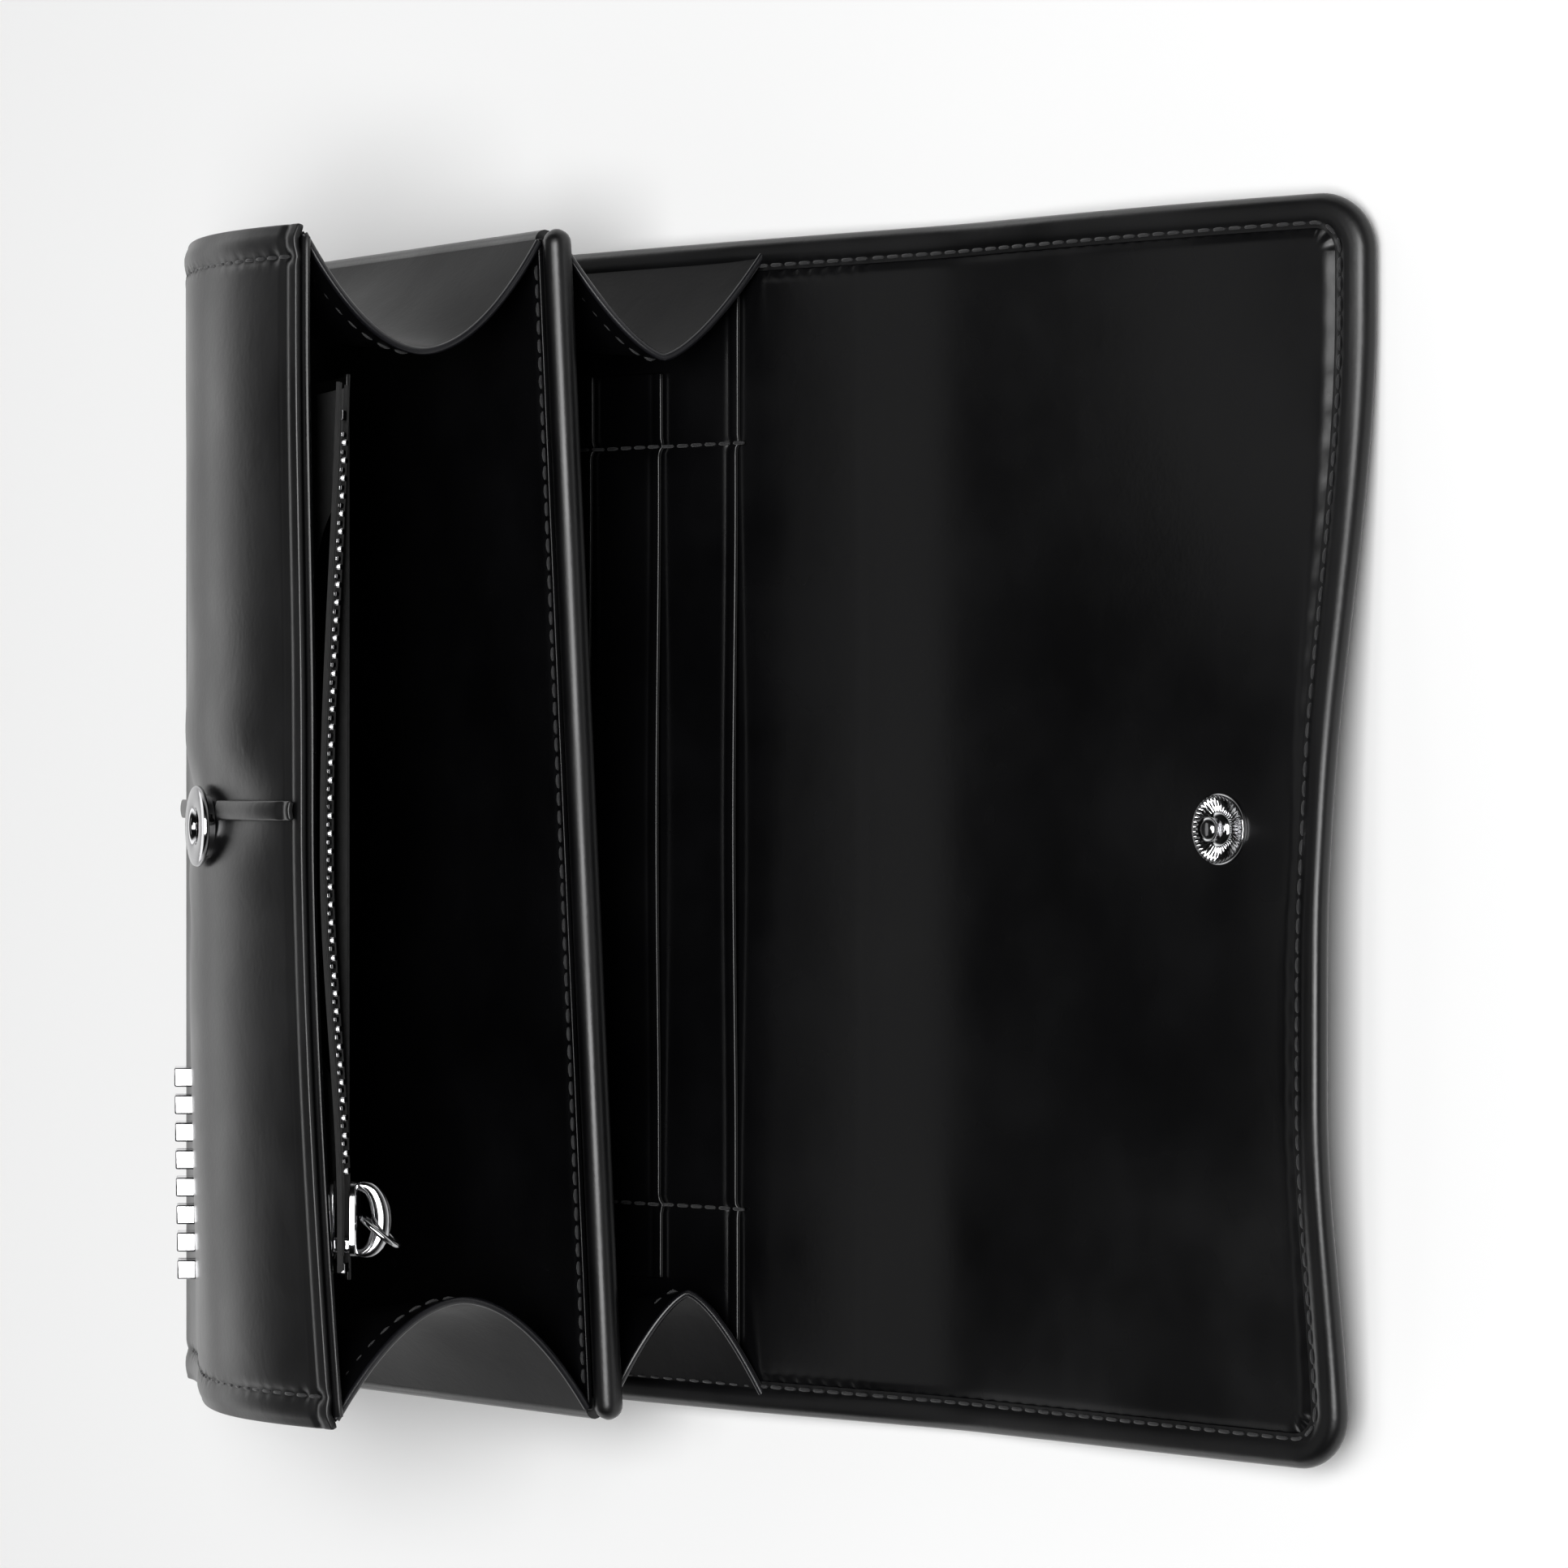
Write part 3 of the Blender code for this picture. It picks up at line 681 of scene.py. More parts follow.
def make_flap():
    """Outer leather turned over the edge as a rolled border, and the lining inside the border."""
    lengths = outline_lengths()

    def border(inset, height):
        near = exp(-((inset - BORDER_STITCH) / 0.5) ** 2)
        return inset, lambda i: height + near * pucker(lengths[i])

    section = [border(*point) for point in reversed(BORDER_SECTION)]
    section += [(inset, lambda i, h=h: h) for inset, h in UNDER_SECTION]
    section += [(inset, lambda i: -STACK) for inset in (4.0, 6.5, FLAP_CORNER)]
    bm = bmesh.new()
    lid_rings(bm, section)
    lid_grid(bm, lambda x, s: -STACK)
    outer = surface_object("flap_leather", bm, OUTER, SHELL_THICK, (0, 1, 0))
    place(outer, "outer_leather", across=AT_FLAP, replaces=["flap_shell", "flap_binding"])

    def core(x, s):
        return on_lid(x, s, -1.25)
    columns, rows = steps(-HALF + 8, HALF - 8, 50), steps(2, 72, 30)
    board = leather("flap_board_shaped", BOARD, columns, rows, core, BOARD_THICK, 0.1)
    place(board, "board", "flap", replaces=["flap_board"])

    def tuck(inset):
        near = exp(-((inset - TUCK) / 0.9) ** 2)
        return inset, lambda i: lining_drop(inset) + near * 1.6 * pucker(lengths[i])

    bm = bmesh.new()
    lid_rings(bm, [tuck(inset) for inset in LINING_INSETS])
    lid_grid(bm, lambda x, s: -0.05)
    lining = surface_object("flap_lining_leather", bm, INNER, LINING_THICK, (0, 0, 1))
    place(lining, "lining_leather", across=AT_FLAP, replaces=["flap_lining"])
    path = [on_lid(x, s, -0.22) for x, s in outline(BORDER_STITCH)]
    stitches = thread_row("flap_stitches", THREAD, path)
    place(stitches, "outer_leather", across=AT_FLAP)


BACK_START = BASE_Y + LINING_Z - 1.4  # where the bottom wall turns onto the back


def back_path(s):
    """(y, z, tilt) of the lining's plane at s along wall, back and half the strip; s is 0 at the turn."""
    if s < 0:
        return BACK_START, LINING_Z - s, -pi / 2
    return BACK_START + s, LINING_Z, 0.0


LAP = 2.5  # overlap where the lining's two halves meet on the strip
BACK_END = FOLD_Y - BACK_START + STRIP / 2


def soft(value, width=2.0):
    """A corner that turns from 0 to value over about twice the width."""
    return width * log1p(exp(min(value / width, 40)))


def back_lift(y):
    """The lining climbs from the table over the fold to the thickness of the card slots."""
    return 0.055 * (soft(FLAP_Y - 1 - y) - soft(46 - y)) * smooth(y, BASE_Y + 4, -10)


def on_back(x, s, height):
    """A point at height above the lining's plane; only the lining's side climbs to the slots."""
    y, z, tilt = back_path(s)
    if height > -1.5 and s > 0:
        z += back_lift(y)
    return Vector((x, y - height * sin(tilt), z + height * cos(tilt)))


def make_back():
    """The same bordered section run down the bottom wall, along the back and up half the strip."""
    wall = steps(-(WALL_SEAM - LINING_Z), -0.01, 10)
    rows = wall + steps(0.01, 4, 4) + steps(6, BACK_END - STRIP / 2 - 8, 48) + steps(
        BACK_END - STRIP / 2 - 7, BACK_END, 30)
    half = BORDER_SECTION[::-1] + UNDER_SECTION + [(4.0, -STACK), (8.0, -STACK)]
    section = [(HALF - inset, inset, h) for inset, h in half]
    section += [(x, 20.0, -STACK) for x in steps(HALF - 12, -HALF + 12, 40)]
    section += [(-(HALF - inset), inset, h) for inset, h in reversed(half)]
    bm = bmesh.new()
    rings = []
    for s in rows:
        ring = []
        for x, inset, height in section:
            drop = height
            if height > -1.0:
                drop += exp(-((inset - BORDER_STITCH) / 0.5) ** 2) * pucker(s)
            ring.append(bm.verts.new(on_back(x, s, drop) * MM))
        rings.append(ring)
    skin(bm, rings)
    outer = surface_object("back_leather", bm, OUTER, SHELL_THICK, (0, 0, -1))
    place(outer, "outer_leather", across=AT_FOLD, replaces=["back_shell", "base_shell", "fold_shell"])

    def lining_surface(x, s):
        edge = HALF - abs(x)
        near = exp(-((edge - TUCK) / 0.9) ** 2)
        under = 0.10 * smooth(s, BACK_END - LAP, BACK_END)
        return on_back(x, s, lining_drop(edge) + near * 1.6 * pucker(s) - under)

    edge_columns = [HALF - inset for inset in LINING_INSETS]
    columns = [-x for x in edge_columns] + steps(-HALF + 12, HALF - 12, 60) + edge_columns[::-1]
    rows = steps(1.0, BACK_END - STRIP / 2 - 8, 44) + steps(BACK_END - STRIP / 2 - 7, BACK_END + LAP, 30)
    lining = leather("back_lining_leather", INNER, columns, rows, lining_surface, LINING_THICK, 0.0)
    place(lining, "lining_leather", across=AT_FOLD, replaces=["back_lining", "fold_lining"])
    for word, side in (("left", -1), ("right", 1)):
        path = [on_back(side * (HALF - BORDER_STITCH), s, -0.22) for s in steps(2, BACK_END - 0.5, 80)]
        row = thread_row(f"back_stitches_{word}", THREAD, path)
        place(row, "outer_leather", across=AT_FOLD)


# ---------------------------------------------------------------- card slots

SLOT_TOPS = (106.5, 90.5, 76.0, 61.0)
SLOT_SEAM = 62.0
SLOT_FOOT = 8.0


def make_card_slots():
    """Card slots with tooled top edges that bow a little between their side seams."""
    base = LINING_Z + 0.15
    for number, top in enumerate(SLOT_TOPS, 1):
        half = 88.0 if number == 1 else 74.0
        level = base + 1.0 * (number - 1)

        def surface(x, v, top=top, half=half, level=level, number=number):
            bow = 0.9 * cos(pi * min(abs(x) / SLOT_SEAM, 1.0) / 2) - (1.3 if abs(x) < SLOT_SEAM else 0.0)
            y = SLOT_FOOT + (top + 0.35 * bow - SLOT_FOOT) * v
            lift = 0.0
            if abs(x) < SLOT_SEAM:
                lift = 0.9 * smooth(v, 0.75, 1.0) * sin(pi * (abs(x) / SLOT_SEAM + 1) / 2) ** 2
            seam = exp(-((abs(x) - SLOT_SEAM) / 0.9) ** 2)
            edge = (1 - v) * (top - SLOT_FOOT)
            crease = 0.22 * exp(-((edge - 2.0) / 0.45) ** 2)
            drop = seam * (0.35 + pucker(y) * 1.2) + crease
            return Vector((x, BASE_Y + y, level + 0.75 + lift - drop + back_lift(BASE_Y + y)))

        inner = [SLOT_SEAM + d for d in (-2.4, -1.4, -0.7, 0.0, 0.7, 1.4)]
        columns = [-half, -half + 2] + [-x for x in reversed(inner)] + steps(-57, 57, 44) + inner
        columns += [half - 2, half]
        depth = top - SLOT_FOOT
        rows = steps(0, 0.6, 6) + steps(0.64, 1 - 3.4 / depth, 14)
        rows += [1 - d / depth for d in (3.0, 2.6, 2.3, 2.0, 1.7, 1.4, 1.0, 0.5, 0.0)]
        obj = leather(f"slot_{number}", INNER, columns, rows, surface, 0.7, 0.22)
        place(obj, "lining_leather", "back_panel", replaces=[f"card_slot_{number}"])
        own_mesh(obj)
    for word, side in (("left", -1), ("right", 1)):
        path = []
        for y in steps(SLOT_TOPS[3] - 22, SLOT_TOPS[0] + 1.5, 90):
            covered = sum(1 for top in SLOT_TOPS if top >= y)
            level = base + 1.0 * (max(covered, 1) - 1) + 0.62
            path.append(Vector((side * SLOT_SEAM, BASE_Y + y, level + back_lift(BASE_Y + y))))
        place(thread_row(f"slot_stitches_{word}", THREAD, path, pitch=3.0), "lining_leather", "back_panel")


# ---------------------------------------------------------------- divider

def divider_bow(x, along):
    share = along / DIVIDER_LENGTH
    return share * (3.9 - 5.2 * x / HALF)


def make_divider():
    """Two faces stitched together under a rolled, rounded top binding."""
    half_width = HALF - 1.2
    columns = steps(-half_width, half_width, 90)
    stitch = DIVIDER_LENGTH - 2.0
    rows = steps(0.8, 80, 30) + steps(81, DIVIDER_LENGTH, 26)
    for word, side in (("front", 1), ("rear", -1)):
        def surface(x, along, side=side):
            groove = exp(-((along - stitch) / 0.7) ** 2) * (0.3 + pucker(x))
            swell = 0.5 * smooth(along, stitch, DIVIDER_LENGTH)
            height = side * (1.6 + swell - groove) + divider_bow(x, along)
            return on_divider(x, along, height)
        obj = leather(f"divider_{word}", INNER, columns, rows, surface, 0.75 * side, 0.1)
        place(obj, "lining_leather", "divider", replaces=[f"divider_face_{word}"])
        path = [on_divider(x, stitch, side * 1.45 + divider_bow(x, stitch)) for x in steps(-90, 90, 90)]
        up = on_divider(0, 0, side) - on_divider(0, 0, 0)
        place(thread_row(f"divider_stitches_{word}", THREAD, path, up=up), "lining_leather", "divider")

    def core(x, along):
        return on_divider(x, along, 0.4 + divider_bow(x, along))

    board = leather("divider_board_shaped", BOARD, steps(-92, 92, 30), steps(2, 88, 30), core, 0.8, 0.1)
    place(board, "board", "divider", replaces=["divider_board"])
    for word, side in (("left", -1), ("right", 1)):
        bm = bmesh.new()
        edge = [(side * (HALF - 1.3), s) for s in steps(7, DIVIDER_LENGTH - 1, 40)]
        points = [on_divider(x, s, divider_bow(x, s)) for x, s in edge]
        tube(bm, points, lambda t: 1.9, 16, flat=0.95, up=(1, 0, 0))
        bound = add_mesh(f"divider_end_{word}", bm, OUTER, 60)
        place(bound, "outer_leather", "divider")
    bm = bmesh.new()
    top = DIVIDER_LENGTH + 0.3 + ROLL_RADIUS
    ends = HALF + 0.3
    places = [-ends + d for d in (0, 0.15, 0.5, 1.0, 1.7, 2.6)] + steps(-ends + 5, ends - 5, 70)
    places += [ends - d for d in (2.6, 1.7, 1.0, 0.5, 0.15, 0)]
    points = [on_divider(x, top - 0.15, divider_bow(x, top)) for x in places]
    radii = [ROLL_RADIUS * sqrt(max(1 - (1 - min((ends - abs(x)) / 2.2, 1.0)) ** 2, 0.04)) for x in places]
    tube(bm, points, lambda t: radii[round(t * (len(points) - 1))], 24)
    roll = add_mesh("divider_roll", bm, OUTER, 60)
    place(roll, "outer_leather", "divider", replaces=["divider_binding"])


# ---------------------------------------------------------------- gussets

GUSSET_BASE = 6.0
GUSSET_MOUTH = 18.0


def back_line(along):
    return Vector((0, BASE_Y + 3.0 + along, LINING_Z + 1.0))


def divider_line(side, end):
    def line(along):
        return on_divider(0, 2.0 + along, side * 2.2 + divider_bow(end * (HALF - 6), 2.0 + along))
    return line


def front_line(side):
    def line(along):
        x = side * (HALF - 2)
        return on_front(0, 3.0 + along, front_shape(x, 3.0 + along) - 2.6)
    return line


def gusset_point(lower, upper, ends, power, side, across, up):
    one = lower(up * ends[0])
    two = upper(up * ends[1])
    middle = one.lerp(two, across)
    depth = GUSSET_BASE + (GUSSET_MOUTH - GUSSET_BASE) * up
    fold = depth * (1 - abs(2 * across - 1) ** power)
    sway = 0.6 * sin(2 * pi * across) * sin(pi * up)
    return Vector((side * (HALF - 1.2 - fold + sway), middle.y, middle.z))


def make_gussets():
    """Folded end walls with a bound mouth edge and a row of stitches beside it."""
    divider_top = on_divider(0, 90, 0).z
    front_top = on_front(0, 82, 0).z
    rear_bend = ("back_panel", "divider", (0, 0, (LINING_Z + 1) * MM), (0, 0, divider_top * MM))
    front_bend = ("back_panel", "front_panel", (0, 0, 0.002), (0, 0, front_top * MM))
    for word, side in (("left", -1), ("right", 1)):
        for depth, lower, upper, ends, power, bend in (
            ("rear", back_line, divider_line(-1, side), (108.0, 90.0), 1.45, rear_bend),
            ("front", divider_line(1, side), front_line(side), (90.0, 81.5), 1.9, front_bend),
        ):
            def surface(u, v, lower=lower, upper=upper, ends=ends, power=power, side=side):
                return gusset_point(lower, upper, ends, power, side, u, v)
            name = f"gusset_{depth}_{word}_leather"
            bm = bmesh.new()
            columns, rows = steps(0, 1, 40), steps(0, 1, 36)
            skin(bm, [[bm.verts.new(surface(u, v) * MM) for u in columns] for v in rows])
            obj = surface_object(name, bm, GUSSET, LINING_THICK, (side, 0, 0))
            place(obj, "lining_leather", across=bend, replaces=[f"gusset_{depth}_{word}"])
            bead = bmesh.new()
            edge = [surface(u, 1.0) for u in steps(0, 1, 60)]
            inward = Vector((side * -0.4, 0, 0))
            tube(bead, [point + inward for point in edge], lambda t: 0.62, 10)
            bound = add_mesh(f"gusset_{depth}_{word}_edge", bead, EDGE, 60)
            place(bound, "lining_leather", across=bend)
            path = [surface(u, 0.965) + Vector((side * -0.95, 0, 0)) for u in steps(0.04, 0.96, 60)]
            row = thread_row(f"gusset_{depth}_{word}_stitches", THREAD, path, up=(-side, 0.2, 0.5))
            place(row, "lining_leather", across=bend)


# ---------------------------------------------------------------- zip

ZIP_ALONG, ZIP_HEIGHT = 83.5, -5.0
ZIP_TURN = -155.0  # degrees from the front panel's plane to the zip's face
TOOTH_PITCH = 2.8
ZIP_HALF = OPEN_END
PULL_LEAN = 38.0
PULL_LENGTH = 7.2
PULL_HALF_WIDTH = 2.2


def zip_frame():
    """Row-frame matrix of the zip: X along it, Y across its tapes, Z out of its face."""
    centre = on_front(0, ZIP_ALONG, ZIP_HEIGHT) * MM
    return Matrix.Translation(centre) @ Matrix.Rotation(radians(FRONT_OPEN + ZIP_TURN), 4, "X")


def zip_lift(x):
    """How far the zip is pulled up with the rim; the slider's two ends of travel are nearly level."""
    return 2.8 * (1 - smooth(x, 5, OPEN_END)) * smooth(x, -82, 0)


def in_zip(obj):
    """Moves an object from the zip's own frame to the row frame, and lifts it with the rim."""
    obj.data.transform(zip_frame())
    normal = on_front(0, 0, 1) - on_front(0, 0, 0)
    for vertex in obj.data.vertices:
        vertex.co += normal * zip_lift(vertex.co.x / MM) * MM
    return obj


def make_teeth():
    """Separate cast teeth clamped on the two tapes, meshing along the middle."""
    count = int(2 * (ZIP_HALF - 2.0) / TOOTH_PITCH)
    for word, side, shift in (("upper", 1, 0.0), ("lower", -1, 0.5)):
        bm = bmesh.new()
        for number in range(count):
            x = -ZIP_HALF + (number + shift) * TOOTH_PITCH
            height, shown = (0.8, 0.0) if side > 0 else (1.6, 0.4)
            verts = box_bm(bm, (1.05, 2.4, height), (x, side * 1.0, shown))
            for vert in verts:
                if vert.co.y * side < 0.5 * MM:  # the tip, which is narrower
                    vert.co.x = x * MM + (vert.co.x - x * MM) * 0.78
            box_bm(bm, (0.7, 0.8, height), (x, side * 2.1, shown))
        cord = [(x, side * 2.75, 0) for x in steps(-ZIP_HALF - 2, ZIP_HALF + 5.5, 60)]
        obj = add_mesh(f"teeth_{word}", bm, METAL, 30)
        round_edges(obj, 0.16)
        obj.data.shade_smooth()
        place(in_zip(obj), "metal", "front_panel", replaces=[f"zip_teeth_{word}"])
        bm = bmesh.new()
        root, rim = (2.5, 4.6) if side > 0 else (-5.0, -2.5)
        for x, after in zip(steps(-70, 70, 56), steps(-67.5, 72.5, 56)[:-1]):
            box_bm(bm, (after - x, rim - root, 0.5), ((x + after) / 2, (root + rim) / 2, 0))
        bmesh.ops.remove_doubles(bm, verts=bm.verts, dist=1e-6)
        tape = add_mesh(f"woven_tape_{word}", bm, TAPE, 60)
        place(in_zip(tape), "zip_tape", "front_panel", replaces=[f"zip_tape_{word}"])
        bm = bmesh.new()
        tube(bm, cord, lambda t: 0.45, 10)
        bead = add_mesh(f"tape_cord_{word}", bm, TAPE, 60)
        place(in_zip(bead), "zip_tape", "front_panel")


def make_zip_ends():
    """Small clamped stops past the first and last tooth, and the pocket wall sewn to the zip's inner tape."""
    for node, x in (("zip_stop_closed", ZIP_HALF + 7.6), ("zip_stop_open", -ZIP_HALF - 3.0)):
        bm = bmesh.new()
        box_bm(bm, (1.6, 3.6, 0.9), (x, 0, 0))
        stop = add_mesh(f"{node}_clamp", bm, METAL, 30)
        round_edges(stop, 0.2)
        place(in_zip(stop), "metal", "front_panel", replaces=[node])

    def wall(x, along):
        share = smooth(along, 30, 76)
        sewn = 1.7 * smooth(along, 70, 78.6)
        return on_front(x, along, ZIP_HEIGHT - 3.5 + sewn + share * zip_lift(x))

    columns, rows = steps(-72, 72, 60), steps(4, 60, 12) + steps(62, 78.6, 20)
    obj = leather("pocket_wall_leather", INNER, columns, rows, wall, 0.7, 0.15)
    place(obj, "lining_leather", "front_panel", replaces=["pocket_wall"])


def rounded_plate(bm, half_length, half_width, bottom, top, taper=0.0, middle=0.0):
    """A slider plate: a rectangle with rounded ends about x = middle, narrowing towards -X."""
    points = []
    for k in range(40):
        a = 2 * pi * k / 40
        x = half_length * (abs(cos(a)) ** 0.6) * (1 if cos(a) >= 0 else -1)
        y = half_width * (abs(sin(a)) ** 0.6) * (1 if sin(a) >= 0 else -1)
        y *= 1 - taper * (0.5 - x / half_length / 2)
        points.append((x, y))
    layers = []
    for share, z in ((0.9, bottom), (1.0, bottom + 0.18), (1.0, top - 0.18), (0.9, top)):
        layers.append([bm.verts.new(Vector((x * share + middle, y * share, z)) * MM) for x, y in points])
    skin(bm, layers, closed=True)
    bm.faces.new(reversed(layers[0]))
    bm.faces.new(layers[-1])


def make_slider():
    """The slider's two plates on a wedge, its arched crown, and the wire loop that swings in it."""
    bm = bmesh.new()
    rounded_plate(bm, 6.2, 3.5, 1.2, 2.3, 0.28)
    rounded_plate(bm, 6.2, 3.0, -2.1, -1.2, 0.28)
    rounded_plate(bm, 1.3, 1.0, -1.5, 1.5, middle=4.0)
    body = add_mesh("slider_body", bm, METAL, 30)
    bm = bmesh.new()
    arch = []
    for a in steps(0, pi, 24):
        arch.append((5.3 * cos(a), 0.0, 2.3 + 3.6 * sin(a) ** 0.8))
    tube(bm, arch, lambda t: 0.6 + 1.0 * sin(pi * t) ** 0.7, 14, flat=0.5, up=(0, 1, 0))
    crown = add_mesh("crown_arch", bm, METAL, 40)
    shift = Matrix.Translation((ZIP_HALF * MM, 0, 0))
    for obj, node in ((body, "zip_slider"), (crown, "slider_crown")):
        obj.data.transform(shift)
        in_zip(obj)
        place(obj, "metal", "zip_slider", replaces=[node])
    bm = bmesh.new()
    loop = []
    for a in steps(0, 2 * pi, 40)[:-1]:
        across = PULL_HALF_WIDTH * sin(a) * (1 - 0.12 * cos(a))
        loop.append((0, across, PULL_LENGTH / 2 - PULL_LENGTH / 2 * cos(a)))
    tube(bm, loop, lambda t: 0.6, 12, closed=True, flat=0.9, up=(1, 0, 0))
    pull = add_mesh("pull_loop", bm, METAL, 60)
    lean = Matrix.Rotation(radians(PULL_LEAN), 4, "Y")
    pull.data.transform(Matrix.Translation((0, 0, -0.7 * MM)))
    pull.data.transform(Matrix.Translation((ZIP_HALF * MM, 0, 3.4 * MM)) @ lean)
    in_zip(pull)
    place(pull, "metal", "zip_pull", replaces=["zip_pull"])


# ---------------------------------------------------------------- snap and ornament

# Turned profiles, as (radius, height) from the leather's face.
SOCKET_PROFILE = (
    (2.9, 0.75), (4.9, 0.75), (5.15, 0.95), (5.2, 1.9), (5.5, 2.1), (6.35, 2.2), (6.55, 2.4), (6.55, 2.75),
    (6.4, 3.05), (6.0, 3.2), (3.5, 3.25), (3.1, 3.15), (2.75, 2.85), (2.6, 2.4), (2.7, 2.2), (3.6, 1.9),
    (3.6, 1.1), (2.9, 1.0),
)
DISH_PROFILE = (
    (2.75, 0.22), (5.1, 0.22), (5.4, 0.4), (5.45, 0.7), (5.35, 0.98), (5.2, 1.1), (4.95, 1.08), (4.75, 0.98),
    (4.3, 0.82), (3.8, 0.68), (3.3, 0.58), (2.75, 0.55),
)
POST_PROFILE = (
    (1.2, 0.3), (2.5, 0.3), (2.7, 0.5), (2.7, 0.95), (2.5, 1.25), (2.0, 1.45), (1.65, 1.6), (1.5, 2.0),
    (1.52, 2.4), (1.85, 2.75), (1.95, 3.1), (1.8, 3.5), (1.4, 3.8), (0.8, 3.97), (0.0, 4.0), (0.0, 2.6),
    (0.9, 2.4), (1.2, 2.0),
)
DISH_RIBS = (40, 7, 10, 0.16)


def make_snap():
    """The socket ring on the front, and the ribbed dish and post on the flap's lining."""
    front_normal = on_front(0, 0, 1) - on_front(0, 0, 0)
    centre = on_front(0, SOCKET_ALONG, front_rise(SOCKET_ALONG))
    socket = lathe("socket_ring", METAL, SOCKET_PROFILE, centre, front_normal)
    place(socket, "metal", "front_panel", replaces=["snap_socket"])
    flap_normal = on_flap(0, 0, 1) - on_flap(0, 0, 0)
    stud_centre = on_flap(0, STUD_ALONG, 0)
    cup = lathe("stud_dish", METAL, DISH_PROFILE, stud_centre, flap_normal, 240, ribs=DISH_RIBS)
    place(cup, "metal", "flap", replaces=["snap_cup"])
    stud = lathe("stud_post", METAL, POST_PROFILE, stud_centre, flap_normal, 64)
    place(stud, "metal", "flap", replaces=["snap_stud"])


ORNAMENT_COUNT = 8
ORNAMENT_ALONG = 24.0
BAR_HEIGHT = 3.2


def make_ornament():
    """Eight plain bevelled bars, every other one grooved across, standing on the front leather."""
    for number in range(1, ORNAMENT_COUNT + 1):
        node = f"ornament_bar_{number}"
        x = (low(node)[0] + high(node)[0]) / 2
        width = high(node)[0] - low(node)[0]
        bm = bmesh.new()
        if number % 2:
            parts = [((width, 6.4, BAR_HEIGHT), (0, 0, BAR_HEIGHT / 2))]
        else:
            parts = [((width, 2.8, BAR_HEIGHT), (0, y, BAR_HEIGHT / 2)) for y in (-1.8, 1.8)]
            parts.append(((width * 0.8, 1.2, 2.4), (0, 0, 1.2)))
        for size, centre in parts:
            box_bm(bm, size, centre)
        bar = add_mesh(f"bar_{number}", bm, METAL, 30)
        round_edges(bar, 0.28, 3)
        bar.data.shade_smooth()
        along, rise = ORNAMENT_ALONG, front_shape(x, ORNAMENT_ALONG)
        slope = (front_rise(along + 1) - front_rise(along - 1)) / 2
        tilt = Matrix.Rotation(radians(FRONT_OPEN) + slope, 4, "X")
        bar.data.transform(Matrix.Translation(on_front(x, along, rise - 0.1) * MM) @ tilt)
        place(bar, "metal", "front_panel", replaces=[node])


def finish_kept_nodes():
    """A better material on each CAD node that stays."""
    for name, obj in NODES.items():
        material = METAL
        for word, choice in KEPT_FINISHES.items():
            if word in name:
                material = choice
        obj.data.materials.clear()
        obj.data.materials.append(material)
        obj.data.shade_smooth()
        obj.data.set_sharp_from_angle(angle=radians(32))


# ---------------------------------------------------------------- studio

def make_floor():
    bm = bmesh.new()
    bmesh.ops.create_grid(bm, x_segments=1, y_segments=1, size=3.0)
    floor = add_mesh("floor", bm, bpy.data.materials.new("floor"))
    floor.location.z = -0.0006
    material = floor.data.materials[0]
    material.use_nodes = True
    shader = material.node_tree.nodes["Principled BSDF"]
    shader.inputs["Base Color"].default_value = (0.9, 0.9, 0.9, 1)
    shader.inputs["Roughness"].default_value = 0.9


def area_light(name, place_at, aim, size, power):
    data = bpy.data.lights.new(name, "AREA")
    data.shape = "RECTANGLE"
    data.size, data.size_y = size
    data.energy = power
    light = linked(bpy.data.objects.new(name, data))
    light.location = place_at
    light.rotation_euler = (Vector(aim) - Vector(place_at)).to_track_quat("-Z", "Y").to_euler()


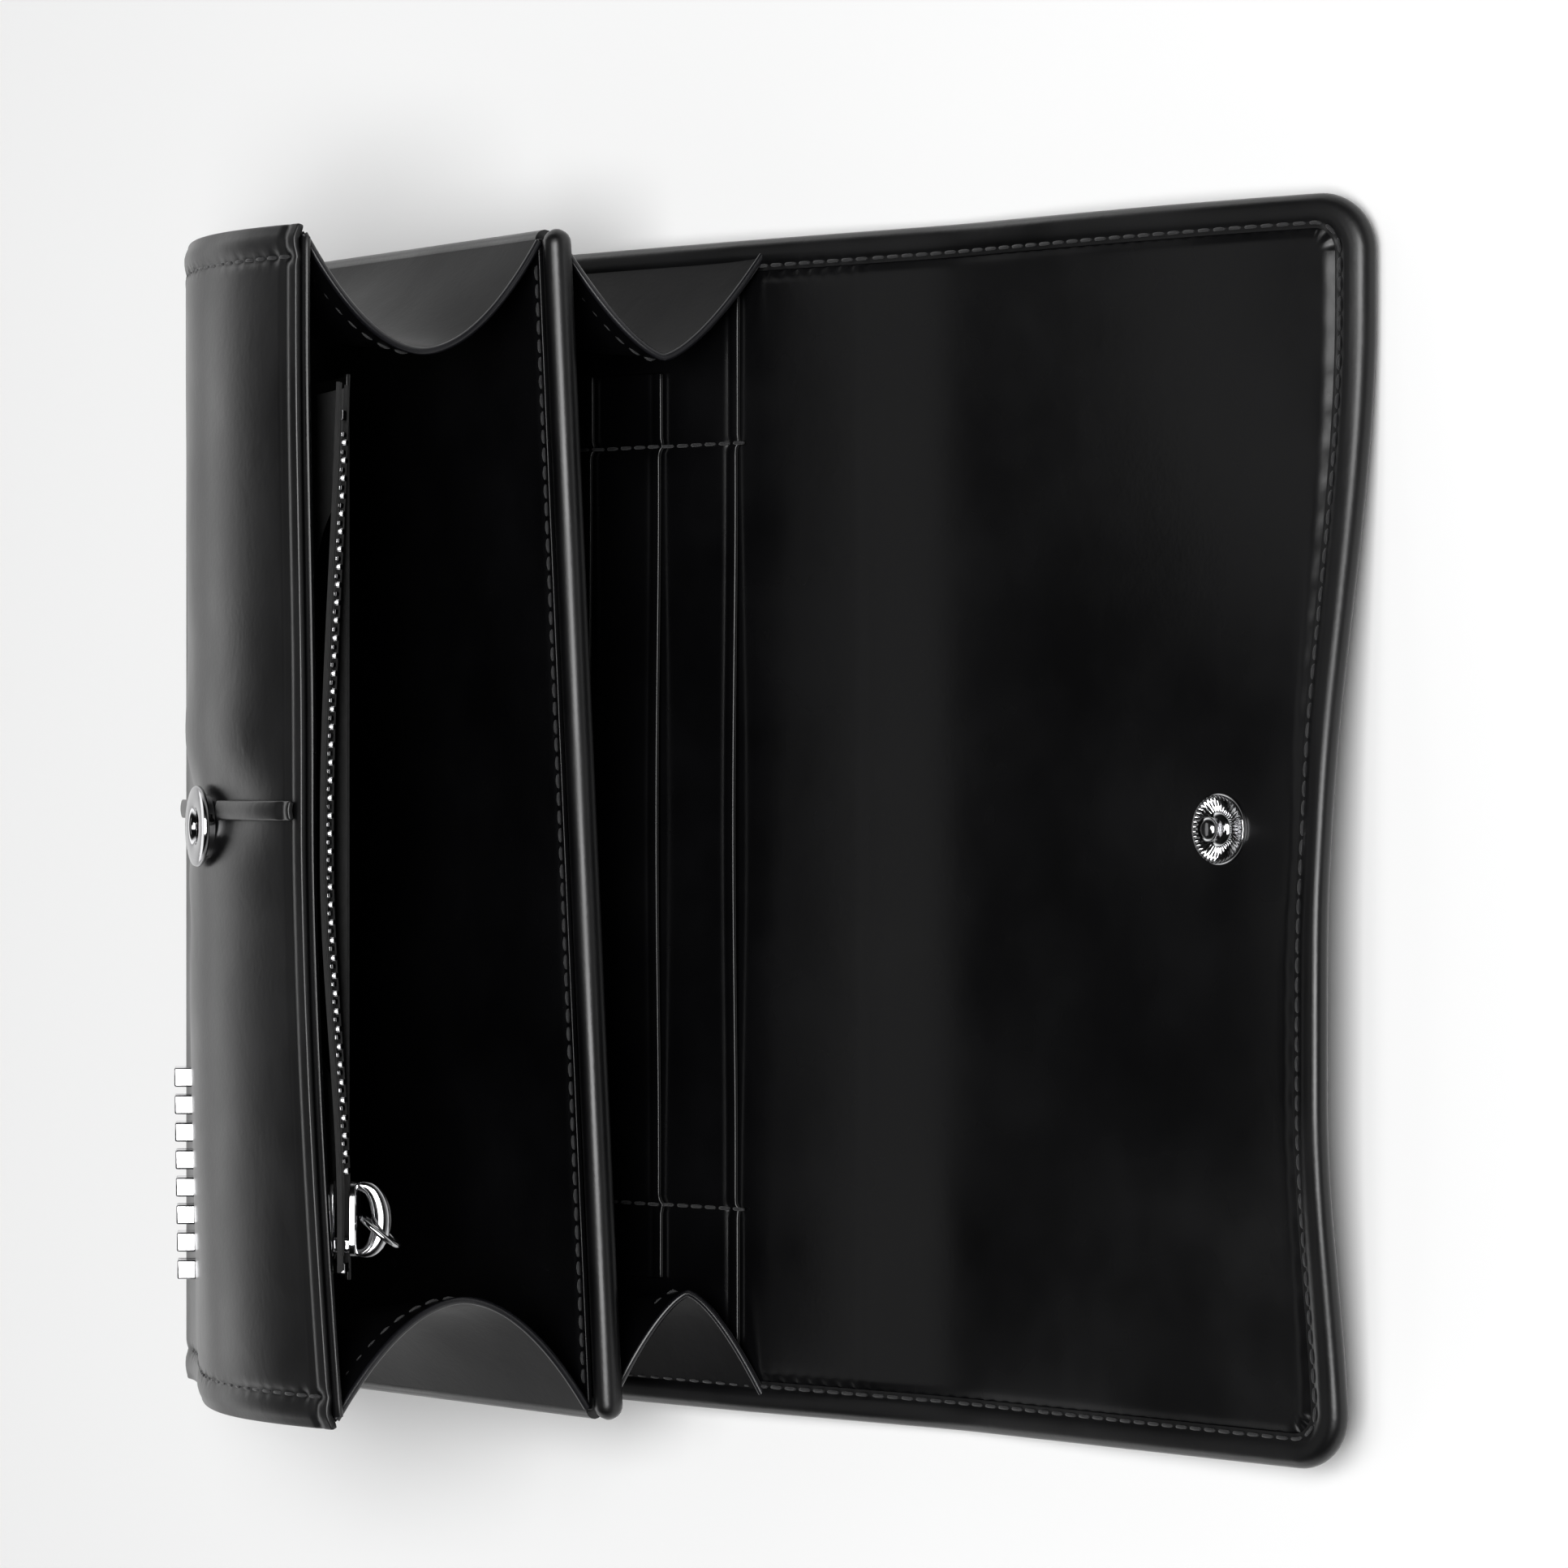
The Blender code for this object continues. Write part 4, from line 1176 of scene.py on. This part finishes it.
def make_world():
    """A studio with pale walls low down and a dark ceiling, so that smooth leather grades to black."""
    world = bpy.data.worlds.new("studio")
    bpy.context.scene.world = world
    world.use_nodes = True
    nodes, links = world.node_tree.nodes, world.node_tree.links
    coords = nodes.new("ShaderNodeTexCoord")
    split = nodes.new("ShaderNodeSeparateXYZ")
    ramp = nodes.new("ShaderNodeValToRGB")
    ramp.color_ramp.interpolation = "EASE"
    ramp.color_ramp.elements[0].position = 0.20
    ramp.color_ramp.elements[0].color = (1.1, 1.1, 1.1, 1)
    ramp.color_ramp.elements[1].position = 0.50
    ramp.color_ramp.elements[1].color = (0.015, 0.015, 0.015, 1)
    links.new(coords.outputs["Generated"], split.inputs["Vector"])
    links.new(split.outputs["Z"], ramp.inputs["Fac"])
    links.new(ramp.outputs["Color"], nodes["Background"].inputs["Color"])
    behind = mapped(nodes, links, split.outputs["Y"], 1.7, 0.30, -0.75, 0.05)
    links.new(behind, nodes["Background"].inputs["Strength"])


def make_studio():
    make_world()
    area_light("key", (0.0, 0.9, 1.5), (0, 0.05, 0), (1.2, 0.8), 31)
    area_light("over", (-0.2, 0.25, 1.7), (0, 0.05, 0), (0.5, 0.5), 4)
    area_light("fold_soft", (0.0, -0.82, 1.38), (0, 0.07, 0), (1.5, 0.46), 0.72)
    make_floor()


CAMERA_TARGET = (-6.8, 55.1, 3.1)
CAMERA_ELEVATION = 48.0  # degrees
CAMERA_DISTANCE = 950.0


def make_camera():
    """Looks at the open mouth from the flap's side, turned so that the wallet stands on end."""
    data = bpy.data.cameras.new("camera")
    data.lens = 135
    data.sensor_width = 36
    camera = linked(bpy.data.objects.new("camera", data))
    a = radians(CAMERA_ELEVATION)
    back = Vector((0, cos(a), sin(a)))
    right = Vector((0, sin(a), -cos(a)))
    up = back.cross(right)
    place_at = (Vector(CAMERA_TARGET) + back * CAMERA_DISTANCE) * MM
    turn = Matrix((right, up, back)).transposed().to_4x4()
    camera.matrix_world = Matrix.Translation(place_at) @ turn
    bpy.context.scene.camera = camera


make_camera()
make_studio()
finish_kept_nodes()
make_front_leather()
make_front_strap()
make_front_board()
make_rim()
make_flap()
make_back()
make_card_slots()
make_divider()
make_gussets()
make_teeth()
make_zip_ends()
make_slider()
make_snap()
make_ornament()

bpy.context.scene.view_settings.view_transform = "Standard"
